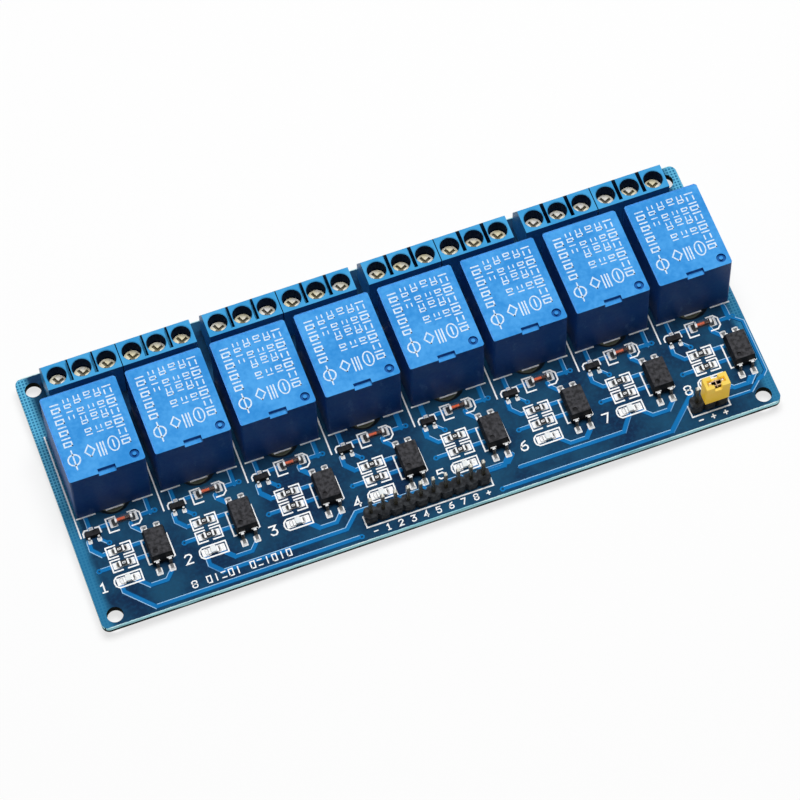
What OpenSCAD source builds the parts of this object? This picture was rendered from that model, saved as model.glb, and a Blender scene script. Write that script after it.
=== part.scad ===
// Eight-channel relay module board: a circuit board with eight sugar-cube relays, a row of eight
// three-way screw terminals behind them and the small driver parts and pin headers in front.
// X runs along the board with channel 1 at -X, +Y points to the screw terminals, +Z up, mm.
// The origin is under the middle of the board, level with the trimmed pin ends that it stands on.

/* [Board] */
// Thickness of the circuit board
board_t = 1.6; // [1.2:0.1:2]
// Radius of the board's corners
board_corner_r = 1.5; // [0.5:0.25:2]
// Left edge of the board to the middle of channel 1
left_margin = 10; // [9.5:0.25:12]
// Middle of the last channel to the right edge of the board
right_margin = 9; // [8.5:0.25:12]
// Front edge of the board to the front faces of the relays
driver_zone = 24; // [24:0.25:28]
// Back faces of the relays to the terminal blocks
terminal_gap = 4; // [3:0.25:6]
// Backs of the terminal blocks to the back edge of the board
back_strip = 2.1; // [1:0.1:4]
// Length of pin left below the board after trimming
pin_trim = 2; // [1.6:0.1:3]

/* [Isolation slots] */
// Width of the U-shaped slot milled round each relay's common pin
slot_cut_w = 1.2; // [0.8:0.1:1.4]
// Radius of the middle of that slot, round the pin
slot_cut_r = 3.3; // [3:0.1:3.6]
// Length of the slot's straight arms
slot_arm_l = 1.5; // [0.5:0.25:2.5]

/* [Mounting holes] */
// Diameter of the four mounting holes
mount_hole_d = 3.2; // [2.5:0.1:3.4]
// Side edges of the board to the mounting holes
mount_side_margin = 3; // [2.5:0.1:3.2]
// Front edge of the board to the front mounting holes
mount_front_margin = 2.4; // [2.2:0.1:3]
// Back edge of the board to the back mounting holes
mount_back_margin = 3.2; // [2.5:0.1:4]

/* [Relays] */
// Distance from one relay to the next
channel_pitch = 17; // [16.5:0.25:19]
// Width of a relay case, along the board
relay_w = 15.1; // [14.8:0.1:15.6]
// Length of a relay case, across the board
relay_l = 18.9; // [18.6:0.1:19.4]
// Height of a relay case above the board
relay_h = 15.2; // [14.9:0.1:17]
// Side wall of a relay case
case_wall = 0.8; // [0.6:0.05:0.9]
// Top wall of a relay case
case_top = 1; // [0.9:0.1:1.3]
// Radius of a relay case's upright corners
case_corner_r = 0.5; // [0.3:0.1:0.8]
// Chamfer round the top of a relay case
case_chamfer = 0.3; // [0.15:0.05:0.45]
// Width of the notch in the front top edge of a case
notch_w = 3.5; // [2.5:0.1:4.5]
// Size of the notch, back from the front face and down from the top
notch_depth = 1; // [0.7:0.1:1.2]
// Diameter of the round vent recess on the top
vent_d = 1.9; // [1.2:0.1:2]
// Depth of the vent recess
vent_depth = 0.5; // [0.2:0.05:0.6]
// Middle of the vent from the front and right faces of the case
vent_inset = 1.7; // [1.6:0.1:2.2]

/* [Relay mechanism] */
// Thickness of a relay's base plate
base_t = 1.2; // [1:0.1:1.4]
// Thickness of the steel yoke
yoke_t = 1; // [0.8:0.1:1.1]
// Sides of the relay to the sides of the yoke and the bobbin
yoke_side_gap = 3.05; // [2.9:0.05:3.5]
// Edges of the bobbin's flanges to the copper winding
winding_inset = 0.3; // [0.2:0.1:0.8]
// Thickness of the bobbin's flanges
flange_t = 0.8; // [0.6:0.1:0.9]
// Diameter of the iron core
core_d = 3; // [2.5:0.1:3.2]
// Diameter of the pole face on top of the core
pole_d = 6.4; // [5.5:0.1:7]
// Thickness of the pole face
pole_t = 0.8; // [0.6:0.1:0.9]
// Thickness of the armature plate
armature_t = 0.8; // [0.6:0.1:1]
// Thickness of the leaf spring that carries the moving contact
leaf_t = 0.2; // [0.15:0.05:0.3]
// Angle that the armature tilts between its two contacts
armature_swing = 2; // [1.5:0.1:2.2]
// Diameter of the contact buttons
contact_d = 2; // [1.6:0.1:2.4]
// Ends of the relay to the common pin and to the two switched pins
pin_end_inset = 2.35; // [2.2:0.05:2.6]
// Distance from the common pin to the coil pins, along the relay
coil_pin_span = 2; // [1.8:0.1:2.4]
// Sides of the relay to the middles of the coil pins and the switched pins
pin_side_inset = 1.55; // [1.45:0.05:1.7]
// Room between the upper fixed contact's arm and the top of the case
arm_headroom = 0.54; // [0.4:0.02:0.8]

/* [Screw terminals] */
// Distance from one wire way to the next
pole_pitch = 5; // [5:0.08:5.08]
// Gap between neighbouring pairs of blocks
pair_gap = 2.4; // [1:0.1:3]
// Gap between the two blocks of a pair
joint_gap = 0.2; // [0.1:0.05:0.4]
// Depth of a terminal block, front to back
block_d = 7.6; // [7.4:0.1:8.5]
// Height of a terminal block
block_h = 10; // [9.6:0.1:11]
// Depth of the flat top of a block
block_top_d = 5.2; // [5:0.1:5.5]
// Height at which the sloping back of a block ends
block_shoulder_z = 5.6; // [5.2:0.1:6]
// Diameter of the wells over the screws
well_d = 3.85; // [3.7:0.05:4]
// Width of the slots between the wire ways
slot_w = 0.75; // [0.5:0.05:0.8]
// Width of the wire entries
entry_w = 2.9; // [2.4:0.1:3]
// Diameter of a screw's head
screw_head_d = 3.5; // [3.2:0.05:3.6]
// Diameter of a screw's shank
screw_d = 2.4; // [2:0.1:2.5]

/* [Driver parts] */
// Front faces of the relays to the row of diodes
diode_setback = 3.3; // [3.1:0.1:3.6]
// Front faces of the relays to the row of transistors
transistor_setback = 4.35; // [4:0.05:4.6]
// Front faces of the relays to the first row of resistors
resistor_setback = 9.1; // [8.8:0.1:9.4]
// Distance from the first row of resistors to the second
resistor_row_pitch = 3; // [2.6:0.1:3.2]
// Front faces of the relays to the row of lamps
lamp_setback = 15.5; // [15.2:0.1:16]
// Front faces of the relays to the row of optocouplers
opto_setback = 11.4; // [11:0.1:11.8]
// Length of an optocoupler's body, across the board
opto_l = 6.4; // [6.2:0.1:6.6]
// Width of an optocoupler's body
opto_w = 4.4; // [4.2:0.1:4.8]
// Height of an optocoupler above the board
opto_h = 3.5; // [3.2:0.1:3.8]
// Length over an optocoupler's leads
opto_span = 10.2; // [9.8:0.1:10.4]
// Length of a chip resistor or a lamp
chip_l = 2; // [1.8:0.1:2.2]
// Width of a chip resistor or a lamp
chip_w = 1.25; // [1.1:0.05:1.35]
// Thickness of a chip resistor
chip_t = 0.5; // [0.4:0.05:0.6]
// Height of an indicator lamp
lamp_h = 0.85; // [0.7:0.05:1.1]
// Length of a glass diode
diode_l = 3.5; // [3.3:0.1:3.7]
// Diameter of a glass diode's end caps
diode_d = 1.5; // [1.4:0.05:1.6]
// Length of a transistor's body
transistor_l = 2.9; // [2.8:0.1:3]
// Width of a transistor's body
transistor_w = 1.3; // [1.2:0.1:1.4]
// Height of a transistor above the board
transistor_h = 1.05; // [0.9:0.05:1.2]

/* [Pin headers] */
// Distance from one header pin to the next
header_pitch = 2.54; // [2.5:0.01:2.6]
// Depth of a header's plastic strip, front to back
header_d = 2.5; // [2.3:0.1:2.54]
// Height of a header's plastic strip
header_h = 2.54; // [2.3:0.1:2.8]
// Thickness of the square header pins
header_pin = 0.64; // [0.6:0.01:0.66]
// Length of header pin above the plastic strip
header_reach = 5.8; // [5.4:0.1:6]
// Middle of the ten-way header from the middle of the board
input_header_x = -2.6; // [-6:0.1:6]
// Middle of the three-way header from the middle of the board
supply_header_x = 55.2; // [50:0.1:57]
// Middle of the headers from the front edge of the board
header_edge = 4.35; // [4:0.05:4.5]
// Height of the jumper cap
jumper_h = 6; // [5.8:0.1:6.5]
// Width of the jumper cap over its two pins
jumper_w = 4.9; // [4.8:0.05:5]
// Depth of the jumper cap, front to back
jumper_d = 2.45; // [2.4:0.05:2.5]

/* [Hidden] */
$fn = 48;
eps = 0.01;
channels = 8;
blocks = 8;
poles = 3;
input_pins_n = 10;
supply_pins_n = 3;

board_l = left_margin + (channels - 1) * channel_pitch + right_margin;
board_w = driver_zone + relay_l + terminal_gap + block_d + back_strip;
board_z = pin_trim;
top_z = pin_trim + board_t;
front_y = -board_w / 2;
back_y = board_w / 2;
relay_front_y = front_y + driver_zone;
relay_y = relay_front_y + relay_l / 2;
block_y = relay_front_y + relay_l + terminal_gap;

function channel_x(k) = -board_l / 2 + left_margin + (k - 1) * channel_pitch;

// Drilled holes and the solder round each pin
small_hole_d = 1;
blade_hole_d = 1.35;
solder_land = 0.45;
solder_h = 1.35;

// Relay mechanism, in the relay's own frame: the middle of its footprint, on the board
base_gap = 0.3;
seat_gap = 0.1;
fit_gap = 0.05;
base_top = base_gap + base_t;
common_y = -relay_l / 2 + pin_end_inset;
coil_pin_y = common_y + coil_pin_span;
switched_y = relay_l / 2 - pin_end_inset;
pin_row_w = relay_w - 2 * pin_side_inset;
blade_w = 1;
blade_t = 0.5;
coil_pin = 0.6;
hinge_y = common_y - 0.8;
button_h = 0.6;
fixed_button_h = 0.4;
reach_y = switched_y - hinge_y + contact_d / 2;
moving_rise = reach_y * sin(armature_swing)
    + (armature_t + leaf_t + button_h) * cos(armature_swing) + 2 * fit_gap;
yoke_top = relay_h - case_top - arm_headroom - blade_t - fixed_button_h - moving_rise;
winding_h = yoke_top - base_top - yoke_t - 2 * flange_t - pole_t;
yoke_w = relay_w - 2 * yoke_side_gap;
flange_l = yoke_w;
winding_d = flange_l - 2 * winding_inset;
coil_y = hinge_y + yoke_t + flange_l / 2;
tube_d = core_d + 1.2;
hinge_z = yoke_top + fit_gap;
plate_w = yoke_w - 1;
plate_l = yoke_t + flange_l / 2 + pole_d / 2 + 0.4;
leaf_w = plate_w * 0.6;
open_face_z = hinge_z + armature_t - button_h - fit_gap;
closed_face_z = yoke_top + moving_rise;

// Screw terminal, in a block's own frame: the middle of its front face, on the board
block_l = poles * pole_pitch + 0.1;
pair_pitch = 2 * block_l + pair_gap;
screw_y = block_top_d / 2;
floor_t = 1;
chamber_w = 3.6;
chamber_top = 4.9;
chamber_y = 0.5;
ledge_z = 5.6;
slot_floor = ledge_z + 0.6;
well_chamfer = 0.15;
screw_head_h = 1.3;
recess_w = 0.6;
recess_l = screw_head_d * 0.78;
recess_turn = 25;
clamp_w = 3.4;
clamp_d = 2.8;
clamp_z = floor_t + 0.1;
clamp_h = 3.6;
clamp_wall = 0.45;
clamp_roof = 0.9;
bar_w = 2.2;
bar_t = 0.6;
bar_z = 3;
leg_y = screw_y - clamp_d / 2 - seat_gap - blade_t / 2;
bar_l = blade_t + clamp_d + 0.4;

// Rows of small parts: middle of each row in front of the relays, and across the channel
opto_x = 5.05;
opto_y = relay_front_y - opto_setback;
opto_lead_pitch = 2.54;
opto_lift = 0.15;
opto_slope = 0.28;
opto_lead_w = 0.6;
opto_lead_t = 0.25;
dimple_d = 1;
dimple_inset = 1.2;
dimple_depth = 0.25;
chip_x = -2.05;
upper_chip_y = relay_front_y - resistor_setback;
lower_chip_y = upper_chip_y - resistor_row_pitch;
lamp_x = -2.3;
lamp_y = relay_front_y - lamp_setback;
diode_x = 0.7;
diode_y = relay_front_y - diode_setback;
transistor_x = -5.75;
transistor_y = relay_front_y - transistor_setback;
transistor_lift = 0.08;
transistor_slope = 0.1;
transistor_lead_x = 0.95;
transistor_lead_w = 0.42;
transistor_lead_t = 0.13;
transistor_foot = 0.6;
chip_cap = 0.4;
chip_skin = 0.03;
diode_core_d = diode_d * 0.38;

header_y = front_y + header_edge;
jumper_x = supply_header_x + header_pitch / 2;
jumper_wall = 0.4;
jumper_lip_z = jumper_h - 0.8;
jumper_rim_h = 1.7;
jumper_rim_lip = 0.15;
jumper_notch_w = 1.5;
jumper_notch_h = 1.4;

// ---- shared shapes -------------------------------------------------------------------------

// A block centred on x and y that stands on z = 0
module slab(w, l, h) {
    translate([-w / 2, -l / 2, 0]) cube([w, l, h]);
}

// A rectangle with round corners
module rounded_rect(w, l, r) {
    square([w - 2 * r, l], center = true);
    square([w, l - 2 * r], center = true);
    for (x = [-1, 1], y = [-1, 1])
        translate([x * (w / 2 - r), y * (l / 2 - r)]) circle(r = r);
}

// A profile drawn in (y, z), made w long across x
module across(w) {
    translate([-w / 2, 0, 0]) rotate([90, 0, 90]) linear_extrude(w) children();
}

// A profile drawn in (x, z), made l long across y
module along(l) {
    translate([0, l / 2, 0]) rotate([90, 0, 0]) linear_extrude(l) children();
}

module at_channels() {
    for (k = [1 : channels]) translate([channel_x(k), 0, top_z]) children();
}

module at_relays() {
    at_channels() translate([0, relay_y, 0]) children();
}

function block_x(b) = (floor((b - 1) / 2) - (blocks / 2 - 1) / 2) * pair_pitch
    + ((b - 1) % 2 - 0.5) * block_l;

module at_poles() {
    for (b = [1 : blocks], p = [0 : poles - 1])
        translate([block_x(b) + (p - (poles - 1) / 2) * pole_pitch, block_y, top_z]) children();
}

module at_header_pins(x, n) {
    for (i = [0 : n - 1]) translate([x + (i - (n - 1) / 2) * header_pitch, header_y, top_z]) children();
}

// ---- board ---------------------------------------------------------------------------------

module board() {
    color("#1b4f80") difference() {
        translate([0, 0, board_z])
            linear_extrude(board_t) rounded_rect(board_l, board_w, board_corner_r);
        for (x = [-1, 1], y = [front_y + mount_front_margin, back_y - mount_back_margin])
            translate([x * (board_l / 2 - mount_side_margin), y, top_z]) drill(mount_hole_d);
        at_relays() {
            at_coil_pins() drill(small_hole_d);
            at_common_pin() {
                drill(blade_hole_d);
                isolation_slot();
            }
            at_switched_pins() drill(blade_hole_d);
        }
        at_poles() translate([0, leg_y, 0]) drill(blade_hole_d);
        at_header_pins(input_header_x, input_pins_n) drill(small_hole_d);
        at_header_pins(supply_header_x, supply_pins_n) drill(small_hole_d);
    }
}

// A hole right through the board, from its top face down
module drill(d) {
    translate([0, 0, -board_t - eps]) cylinder(d = d, h = board_t + 2 * eps);
}

// A U-shaped slot right through the board, open towards the back, with round ends
module isolation_slot() {
    translate([0, 0, -board_t - eps]) linear_extrude(board_t + 2 * eps) {
        difference() {
            slot_outline(slot_cut_r + slot_cut_w / 2);
            slot_outline(slot_cut_r - slot_cut_w / 2);
        }
        for (x = [-1, 1]) translate([x * slot_cut_r, slot_arm_l]) circle(d = slot_cut_w);
    }
}

// Half a circle in front of the pin, with straight sides back to the ends of the arms
module slot_outline(r) {
    intersection() {
        circle(r = r);
        translate([-r, -r]) square([2 * r, r]);
    }
    translate([-r, 0]) square([2 * r, slot_arm_l]);
}

// ---- relays --------------------------------------------------------------------------------

module at_coil_pins() {
    for (x = [-1, 1]) translate([x * pin_row_w / 2, coil_pin_y, 0]) children();
}

module at_common_pin() {
    translate([0, common_y, 0]) children();
}

module at_switched_pins() {
    for (x = [-1, 1]) translate([x * pin_row_w / 2, switched_y, 0]) children();
}

// A moulded cap, open below, with a notch in its front top edge and a round vent by one corner
module relay_case(k) {
    inner_w = relay_w - 2 * case_wall;
    inner_l = relay_l - 2 * case_wall;
    color("#3f8fe0") translate([channel_x(k), relay_y, top_z]) difference() {
        linear_extrude(relay_h) rounded_rect(relay_w, relay_l, case_corner_r);
        case_chamfers();
        difference() {
            translate([0, 0, -eps]) slab(inner_w, inner_l, relay_h - case_top + eps);
            translate([0, -relay_l / 2 + notch_depth / 2 + case_wall, relay_h - notch_depth - case_wall])
                slab(notch_w + 2 * case_wall, notch_depth, notch_depth + case_wall);
        }
        translate([0, -relay_l / 2, relay_h - notch_depth])
            slab(notch_w, 2 * notch_depth, notch_depth + eps);
        translate([relay_w / 2 - vent_inset, -relay_l / 2 + vent_inset, relay_h - vent_depth]) vent_recess();
    }
}

module case_chamfers() {
    c = case_chamfer;
    for (s = [-1, 1]) {
        translate([0, s * relay_l / 2, relay_h]) rotate([45, 0, 0])
            slab(relay_w + 2, c * sqrt(2), c * sqrt(2) / 2);
        translate([s * relay_w / 2, 0, relay_h]) rotate([0, 45, 0])
            slab(c * sqrt(2), relay_l + 2, c * sqrt(2) / 2);
    }
}

// A ring-shaped recess that leaves the sealed vent's nub standing
module vent_recess() {
    difference() {
        cylinder(d = vent_d, h = vent_depth + eps);
        translate([0, 0, -eps]) cylinder(d = vent_d * 0.4, h = vent_depth);
    }
}

// Flat plates that close the cases from below, with a slot for each pin
module relay_bases() {
    color("#2f6fbf") at_relays() difference() {
        translate([0, 0, base_gap])
            slab(relay_w - 2 * (case_wall + seat_gap), relay_l - 2 * (case_wall + seat_gap), base_t);
        at_coil_pins() slab(coil_pin, coil_pin, 2 * base_top);
        at_common_pin() slab(blade_w, blade_t, 2 * base_top);
        at_switched_pins() slab(blade_t, blade_w, 2 * base_top);
    }
}

// An L of sheet steel: its foot lies under the coil and its upright carries the armature's hinge
module relay_yokes() {
    color("#9aa0a6") at_relays() difference() {
        union() {
            translate([-yoke_w / 2, hinge_y, base_top])
                cube([yoke_w, yoke_t + flange_l / 2 + pole_d / 2, yoke_t]);
            translate([-yoke_w / 2, hinge_y, base_top]) cube([yoke_w, yoke_t, yoke_top - base_top]);
        }
        translate([0, coil_y, base_top - eps]) cylinder(d = core_d + 2 * fit_gap, h = yoke_t + 2 * eps);
    }
}

// A pin of soft iron with a wide pole face, set in the yoke's foot
module relay_cores() {
    color("#b9bdc2") at_relays() translate([0, coil_y, 0]) {
        translate([0, 0, base_top]) cylinder(d = core_d, h = yoke_top - pole_t - base_top);
        translate([0, 0, yoke_top - pole_t]) cylinder(d = pole_d, h = pole_t);
    }
}

// A moulded spool; its lower flange has an ear with a square hole on each side for a coil pin
module relay_bobbins() {
    color("#e9e4d6") at_relays() difference() {
        union() {
            for (z = [0, flange_t + winding_h])
                translate([0, coil_y, base_top + yoke_t + z]) slab(flange_l, flange_l, flange_t);
            translate([0, coil_pin_y, base_top + yoke_t])
                slab(pin_row_w + 2 * coil_pin, 3 * coil_pin, flange_t);
            translate([0, coil_y, base_top + yoke_t]) cylinder(d = tube_d, h = winding_h + 2 * flange_t);
        }
        translate([0, coil_y, base_top]) cylinder(d = core_d + 2 * fit_gap, h = yoke_top);
        at_coil_pins() slab(coil_pin, coil_pin, yoke_top / 2);
    }
}

module relay_windings() {
    color("#b5652b") at_relays() translate([0, coil_y, base_top + yoke_t + flange_t]) difference() {
        cylinder(d = winding_d, h = winding_h);
        translate([0, 0, -eps]) cylinder(d = tube_d, h = winding_h + 2 * eps);
    }
}

// A steel plate hinged on the yoke's top edge, with a leaf spring and a contact riveted through it.
// It stands tilted up against the upper contact; the coil pulls it flat onto the lower one.
module relay_armature(k) {
    color("#c8a45a") translate([channel_x(k), relay_y + hinge_y, top_z + hinge_z])
        rotate([armature_swing, 0, 0]) {
            translate([-plate_w / 2, 0, 0]) cube([plate_w, plate_l, armature_t]);
            translate([-leaf_w / 2, yoke_t, armature_t]) cube([leaf_w, reach_y - yoke_t, leaf_t]);
            translate([0, switched_y - hinge_y, armature_t - button_h])
                cylinder(d = contact_d, h = 2 * button_h + leaf_t);
        }
}

// Two bent blades a relay: the right one ends under the moving contact, the left one above it
module relay_switched_contacts() {
    color("#c98a4b") at_relays() translate([0, switched_y, 0]) {
        switched_blade(1, open_face_z - fixed_button_h - blade_t);
        translate([0, 0, open_face_z - fixed_button_h]) cylinder(d = contact_d, h = fixed_button_h);
        switched_blade(-1, closed_face_z + fixed_button_h);
        translate([0, 0, closed_face_z]) cylinder(d = contact_d, h = fixed_button_h);
    }
}

// An upright from the trimmed pin end to the arm, and the arm across to the middle
module switched_blade(side, arm_z) {
    outer_x = pin_row_w / 2 + blade_t / 2;
    mirror([side < 0 ? 1 : 0, 0, 0]) along(blade_w) polygon([
        [outer_x, -top_z], [outer_x, arm_z + blade_t], [-contact_d / 2, arm_z + blade_t],
        [-contact_d / 2, arm_z], [outer_x - blade_t, arm_z], [outer_x - blade_t, -top_z]
    ]);
}

module relay_common_pins() {
    color("#c98a4b") at_relays() at_common_pin()
        translate([0, 0, -top_z]) slab(blade_w, blade_t, top_z + base_top);
}

module relay_coil_pins() {
    color("#d9d9d9") at_relays() at_coil_pins()
        translate([0, 0, -top_z]) slab(coil_pin, coil_pin, top_z + base_top + yoke_t + flange_t + 1);
}

// ---- screw terminals -----------------------------------------------------------------------

// A three-way housing: a sloping back with wire entries, wells over the screws, slots between ways
module terminal_block(b) {
    color("#3a8ddd") translate([block_x(b), block_y, top_z]) difference() {
        across(block_l - joint_gap) polygon([
            [0, 0], [0, block_h], [block_top_d, block_h], [block_d, block_shoulder_z], [block_d, 0]
        ]);
        for (p = [0 : poles - 1])
            translate([(p - (poles - 1) / 2) * pole_pitch, 0, 0]) wire_way();
        for (p = [1 : poles - 1])
            translate([(p - poles / 2) * pole_pitch, (block_d + chamber_y) / 2 + eps, slot_floor])
                slab(slot_w, block_d - chamber_y, block_h);
    }
}

// Everything hollow in one way of a block: well, neck, clamp chamber, wire entry and pin slot
module wire_way() {
    clamp_back = screw_y + clamp_d / 2;
    translate([0, screw_y, ledge_z]) cylinder(d = well_d, h = block_h);
    translate([0, screw_y, block_h - well_chamfer])
        cylinder(d1 = well_d, d2 = well_d + 2 * well_chamfer + eps, h = well_chamfer + eps);
    translate([0, screw_y, floor_t]) cylinder(d = screw_d + 4 * fit_gap, h = ledge_z);
    translate([-chamber_w / 2, chamber_y, floor_t])
        cube([chamber_w, clamp_back + seat_gap - chamber_y, chamber_top - floor_t]);
    translate([-entry_w / 2, screw_y, clamp_z + clamp_wall]) cube([entry_w, block_d, entry_w]);
    translate([0, leg_y, -eps]) slab(blade_w, blade_t, 2 * floor_t);
}

module terminal_screws() {
    color("#c9b26a") at_poles() translate([0, screw_y, 0]) difference() {
        union() {
            translate([0, 0, ledge_z]) cylinder(d = screw_head_d, h = screw_head_h);
            translate([0, 0, bar_z + bar_t]) cylinder(d = screw_d, h = ledge_z - bar_z - bar_t + eps);
        }
        for (a = [0, 90]) rotate(a + recess_turn)
            translate([0, 0, ledge_z + screw_head_h / 2]) slab(recess_l, recess_w, screw_head_h);
    }
}

// Rising cages: the screw runs in the roof, the wire lies in the window below the contact bar
module terminal_clamps() {
    color("#b8b8b0") at_poles() translate([0, screw_y, clamp_z]) difference() {
        slab(clamp_w, clamp_d, clamp_h);
        translate([0, 0, clamp_wall])
            slab(clamp_w - 2 * clamp_wall - seat_gap, 2 * clamp_d, clamp_h - clamp_wall - clamp_roof);
        cylinder(d = screw_d + 2 * fit_gap, h = clamp_h + eps);
        translate([0, 0, -eps]) cylinder(d = screw_d + 2 * fit_gap, h = eps);
    }
}

// A contact bar through each cage, bent down into the leg that is soldered to the board
module terminal_pins() {
    color("#d0cdc4") at_poles() {
        translate([-bar_w / 2, leg_y - blade_t / 2, bar_z]) cube([bar_w, bar_l, bar_t]);
        translate([0, leg_y, -top_z]) slab(blade_w, blade_t, top_z + bar_z + bar_t / 2);
    }
}

// ---- driver parts --------------------------------------------------------------------------

// A moulded package whose four sides slope in both ways from the line where its leads leave
module moulded_package(w, l, z0, z1, slope) {
    mid = (z0 + z1) / 2;
    intersection() {
        across(w) polygon([
            [-l / 2 + slope, z0], [-l / 2, mid], [-l / 2 + slope, z1],
            [l / 2 - slope, z1], [l / 2, mid], [l / 2 - slope, z0]
        ]);
        along(l) polygon([
            [-w / 2 + slope, z0], [-w / 2, mid], [-w / 2 + slope, z1],
            [w / 2 - slope, z1], [w / 2, mid], [w / 2 - slope, z0]
        ]);
    }
}

// A gull-wing lead in (y, z): out of the package at y = 0 and height z, down, and out to y_out
module gull_wing(z, y_knee, y_out, t) {
    polygon([
        [0, z - t / 2], [y_knee - t, z - t / 2], [y_knee, t], [y_knee, 0], [y_out, 0],
        [y_out, t], [y_knee + t, t], [y_knee + t / 2, z + t / 2], [0, z + t / 2]
    ]);
}

module at_optos() {
    at_channels() translate([opto_x, opto_y, 0]) children();
}

module optocoupler_bodies() {
    color("#2b2d30") at_optos() difference() {
        moulded_package(opto_w, opto_l, opto_lift, opto_h, opto_slope);
        translate([-opto_w / 2 + dimple_inset, -opto_l / 2 + dimple_inset, opto_h - dimple_depth])
            cylinder(d = dimple_d, h = opto_h);
    }
}

// Two leads at each end: wide where they leave the package, narrow in the foot
module optocoupler_leads() {
    z = (opto_lift + opto_h) / 2;
    color("#d5d7d8") at_optos()
        for (x = [-1, 1], a = [0, 180]) rotate(a)
            translate([x * opto_lead_pitch / 2, opto_l / 2, 0]) {
                across(opto_lead_w)
                    gull_wing(z, 2 * opto_lead_t, (opto_span - opto_l) / 2, opto_lead_t);
                translate([-opto_lead_w, 0, z - opto_lead_t / 2])
                    cube([2 * opto_lead_w, opto_lead_t, opto_lead_t]);
            }
}

module at_resistors() {
    at_channels() for (y = [upper_chip_y, lower_chip_y]) translate([chip_x, y, 0]) children();
}

// The ceramic chip that the end caps wrap round
module chip_core(l, w, t) {
    translate([0, 0, chip_skin]) slab(l - 2 * chip_skin, w - 2 * chip_skin, t - 2 * chip_skin);
}

module resistor_bodies() {
    color("#26282b") at_resistors() chip_core(chip_l, chip_w, chip_t);
}

module resistor_caps() {
    color("#dcdcd8") at_resistors() end_caps(chip_l, chip_w, chip_t);
}

module end_caps(l, w, t) {
    difference() {
        for (x = [-1, 1]) translate([x * (l - chip_cap) / 2, 0, 0]) slab(chip_cap, w, t);
        chip_core(l, w, t);
    }
}

module at_lamps() {
    at_channels() translate([lamp_x, lamp_y, 0]) children();
}

module lamp_bases() {
    color("#e8e6da") at_lamps() chip_core(chip_l, chip_w, lamp_h * 0.4);
}

module lamp_caps() {
    color("#e2d9b0") at_lamps() end_caps(chip_l, chip_w, lamp_h * 0.4);
}

// A clear block over the chip with sloping ends
module lamp_lenses() {
    z0 = lamp_h * 0.4 - chip_skin;
    w = chip_l - 2 * chip_cap;
    color("#f3f3ee") at_lamps() along(chip_w) polygon([
        [-w / 2, z0], [-w / 2 + 0.1, lamp_h], [w / 2 - 0.1, lamp_h], [w / 2, z0]
    ]);
}

module at_diodes() {
    at_channels() translate([diode_x, diode_y, diode_d / 2]) rotate([0, 90, 0]) children();
}

module diode_glasses() {
    l = diode_l - 2 * chip_cap;
    color("#e8c9a8") at_diodes() difference() {
        cylinder(d = diode_d - 2 * fit_gap, h = l, center = true);
        cylinder(d = diode_core_d + 2 * fit_gap, h = l + eps, center = true);
    }
}

module diode_caps() {
    color("#d8dadc") at_diodes() for (s = [-1, 1])
        translate([0, 0, s * (diode_l - chip_cap) / 2]) cylinder(d = diode_d, h = chip_cap, center = true);
}

// The plugs of copper-clad wire and the chip they hold, sealed in the glass
module diode_cores() {
    color("#d4552a") at_diodes()
        cylinder(d = diode_core_d, h = diode_l - 2 * chip_cap, center = true);
}

module at_transistors() {
    at_channels() translate([transistor_x, transistor_y, 0]) children();
}

module transistor_bodies() {
    color("#232528") at_transistors()
        moulded_package(transistor_l, transistor_w, transistor_lift, transistor_h, transistor_slope);
}

// One lead at the back, two at the front
module transistor_leads() {
    z = (transistor_lift + transistor_h) / 2;
    x = transistor_lead_x;
    t = transistor_lead_t;
    color("#d5d7d8") at_transistors() for (at = [[0, 0], [x, 180], [-x, 180]])
        rotate(at[1]) translate([at[0], transistor_w / 2, 0])
            across(transistor_lead_w) gull_wing(z, 2 * t, transistor_foot, t);
}

// ---- pin headers and jumper ----------------------------------------------------------------

// A moulded strip, waisted between its cells, with a square hole for each pin
module header_strip(x, n) {
    c = header_pitch / 5;
    at_header_pins(x, n) difference() {
        linear_extrude(header_h) polygon([
            [-header_pitch / 2, -header_d / 2 + c], [-header_pitch / 2 + c, -header_d / 2],
            [header_pitch / 2 - c, -header_d / 2], [header_pitch / 2, -header_d / 2 + c],
            [header_pitch / 2, header_d / 2 - c], [header_pitch / 2 - c, header_d / 2],
            [-header_pitch / 2 + c, header_d / 2], [-header_pitch / 2, header_d / 2 - c]
        ]);
        translate([0, 0, -eps]) slab(header_pin, header_pin, header_h + 2 * eps);
    }
}

// A square pin with a pointed top
module header_pins(x, n) {
    tip = header_pin * 0.6;
    at_header_pins(x, n) {
        translate([0, 0, -top_z]) slab(header_pin, header_pin, top_z + header_h + header_reach - tip);
        translate([0, 0, header_h + header_reach - tip]) rotate(45)
            cylinder(d1 = header_pin * sqrt(2), d2 = header_pin * 0.6, h = tip, $fn = 4);
    }
}

module input_header() { color("#1c1d1f") header_strip(input_header_x, input_pins_n); }
module input_pins() { color("#d9c27a") header_pins(input_header_x, input_pins_n); }
module supply_header() { color("#1c1d1f") header_strip(supply_header_x, supply_pins_n); }
module supply_pins() { color("#d9c27a") header_pins(supply_header_x, supply_pins_n); }

module at_jumper() {
    translate([jumper_x, header_y, top_z + header_h]) children();
}

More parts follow.
